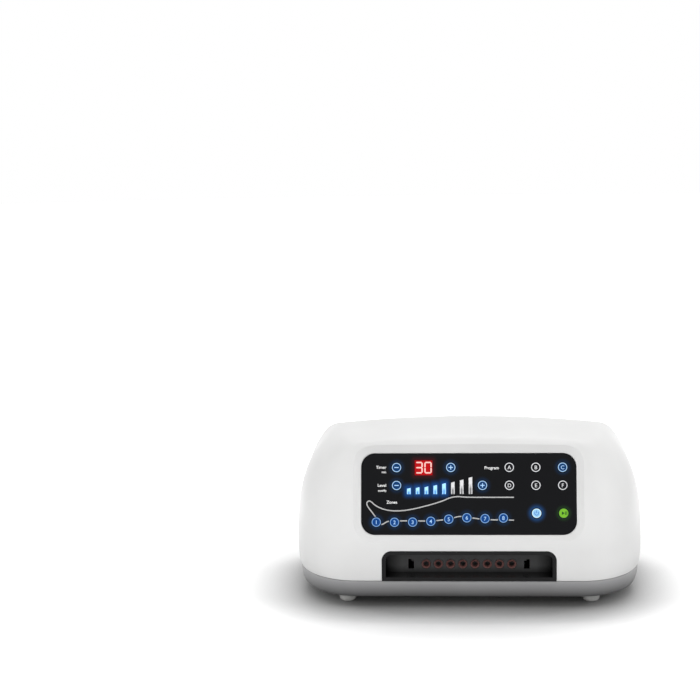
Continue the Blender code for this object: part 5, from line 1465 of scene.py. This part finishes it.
lit_look = (lit_cap, lit_ink, "key_blue")
plain_look = (plain_cap, plain_ink, "key_dark")
zone_look = (zone_cap, lit_ink, "key_blue")
KEY_LOOKS = {f"mode_{letter}": plain_look for letter in "abdef"}
KEY_LOOKS.update({f"chamber_{step}": zone_look for step in range(1, OUTLET_COUNT + 1)})
KEY_LOOKS["power"] = (power_cap, power_ink, "key_pale")
KEY_LOOKS["start"] = (start_cap, start_ink, "key_green")
gloss_panel = panel_finish()

dark_plastic = plastic("dark_plastic", (0.022, 0.022, 0.024), 0.38, 1600.0, 0.000006)
grey_plastic = plastic("grey_plastic", (0.20, 0.20, 0.21), 0.45, 1500.0, 0.000008)
board_green = plastic("board_green", (0.015, 0.10, 0.045), 0.35, 900.0, 0.000004)
silicone = plastic("silicone", (0.62, 0.62, 0.58), 0.40, 1200.0, 0.000005)
dark_rubber = plastic("dark_rubber", (0.030, 0.030, 0.031), 0.60, 1900.0, 0.000010)
ribbon_grey = plastic("ribbon_grey", (0.42, 0.43, 0.45), 0.45, 1300.0, 0.000004)
laminated_steel = metal("laminated_steel", (0.33, 0.32, 0.31), 0.42, 1600.0, 0.000010)
cast_alloy = metal("cast_alloy", (0.55, 0.56, 0.58), 0.45, 700.0, 0.000015)

make_upper_shell()
make_lower_shell()
make_feet()
make_screws()
make_panel()
make_keys()
make_display()
make_bars()
make_prints()
make_bay()
make_seal()

keep(grey_plastic, 0.0003, "rear_plate", "valve_manifold")
# Painted shade: the outlet block takes the dark plastic so that it reads dark through the bores.
keep(dark_plastic, 0.0004, "outlet_block", "mains_inlet", "switch_frame", "rocker_switch", "remote_receiver")
keep(zinc_steel, 0.0003, "inlet_pin_left", "inlet_pin_right")
keep(laminated_steel, 0.0002, "power_transformer", "valve_solenoids")
keep(cast_alloy, 0.0006, "compressor_body", "compressor_head_left", "compressor_head_right")
keep(board_green, 0.0001, "main_board", "display_board")
keep(silicone, 0.0001, "chamber_tubes", "supply_tube")
keep(ribbon_grey, 0.0001, "ribbon_cable")
keep(dark_rubber, 0.0001, "mains_lead")
keep(dark_rubber, 0.0002, *(f"compressor_mount_{corner}" for corner in CORNERS))

make_floor()
make_world()
make_lamp("behind", (0.1, 0.8, 1.3), (0, 0, 0.05), (1.3, 0.8), 13.0)
make_lamp("front", (0.1, -1.6, 0.75), (0, 0, 0.08), (2.0, 0.8), 10.0)
make_lamp("front_low", (0, -2.3, 0.3), (0, 0, 0.08), (2.6, 0.5), 17.0)
make_lamp("left", (-1.75, -0.4, 0.5), (0, 0, 0.08), (1.0, 0.6), 12.5)
make_lamp("right", (1.65, -0.4, 0.6), (0, 0, 0.08), (1.0, 0.6), 10.5)
make_camera()
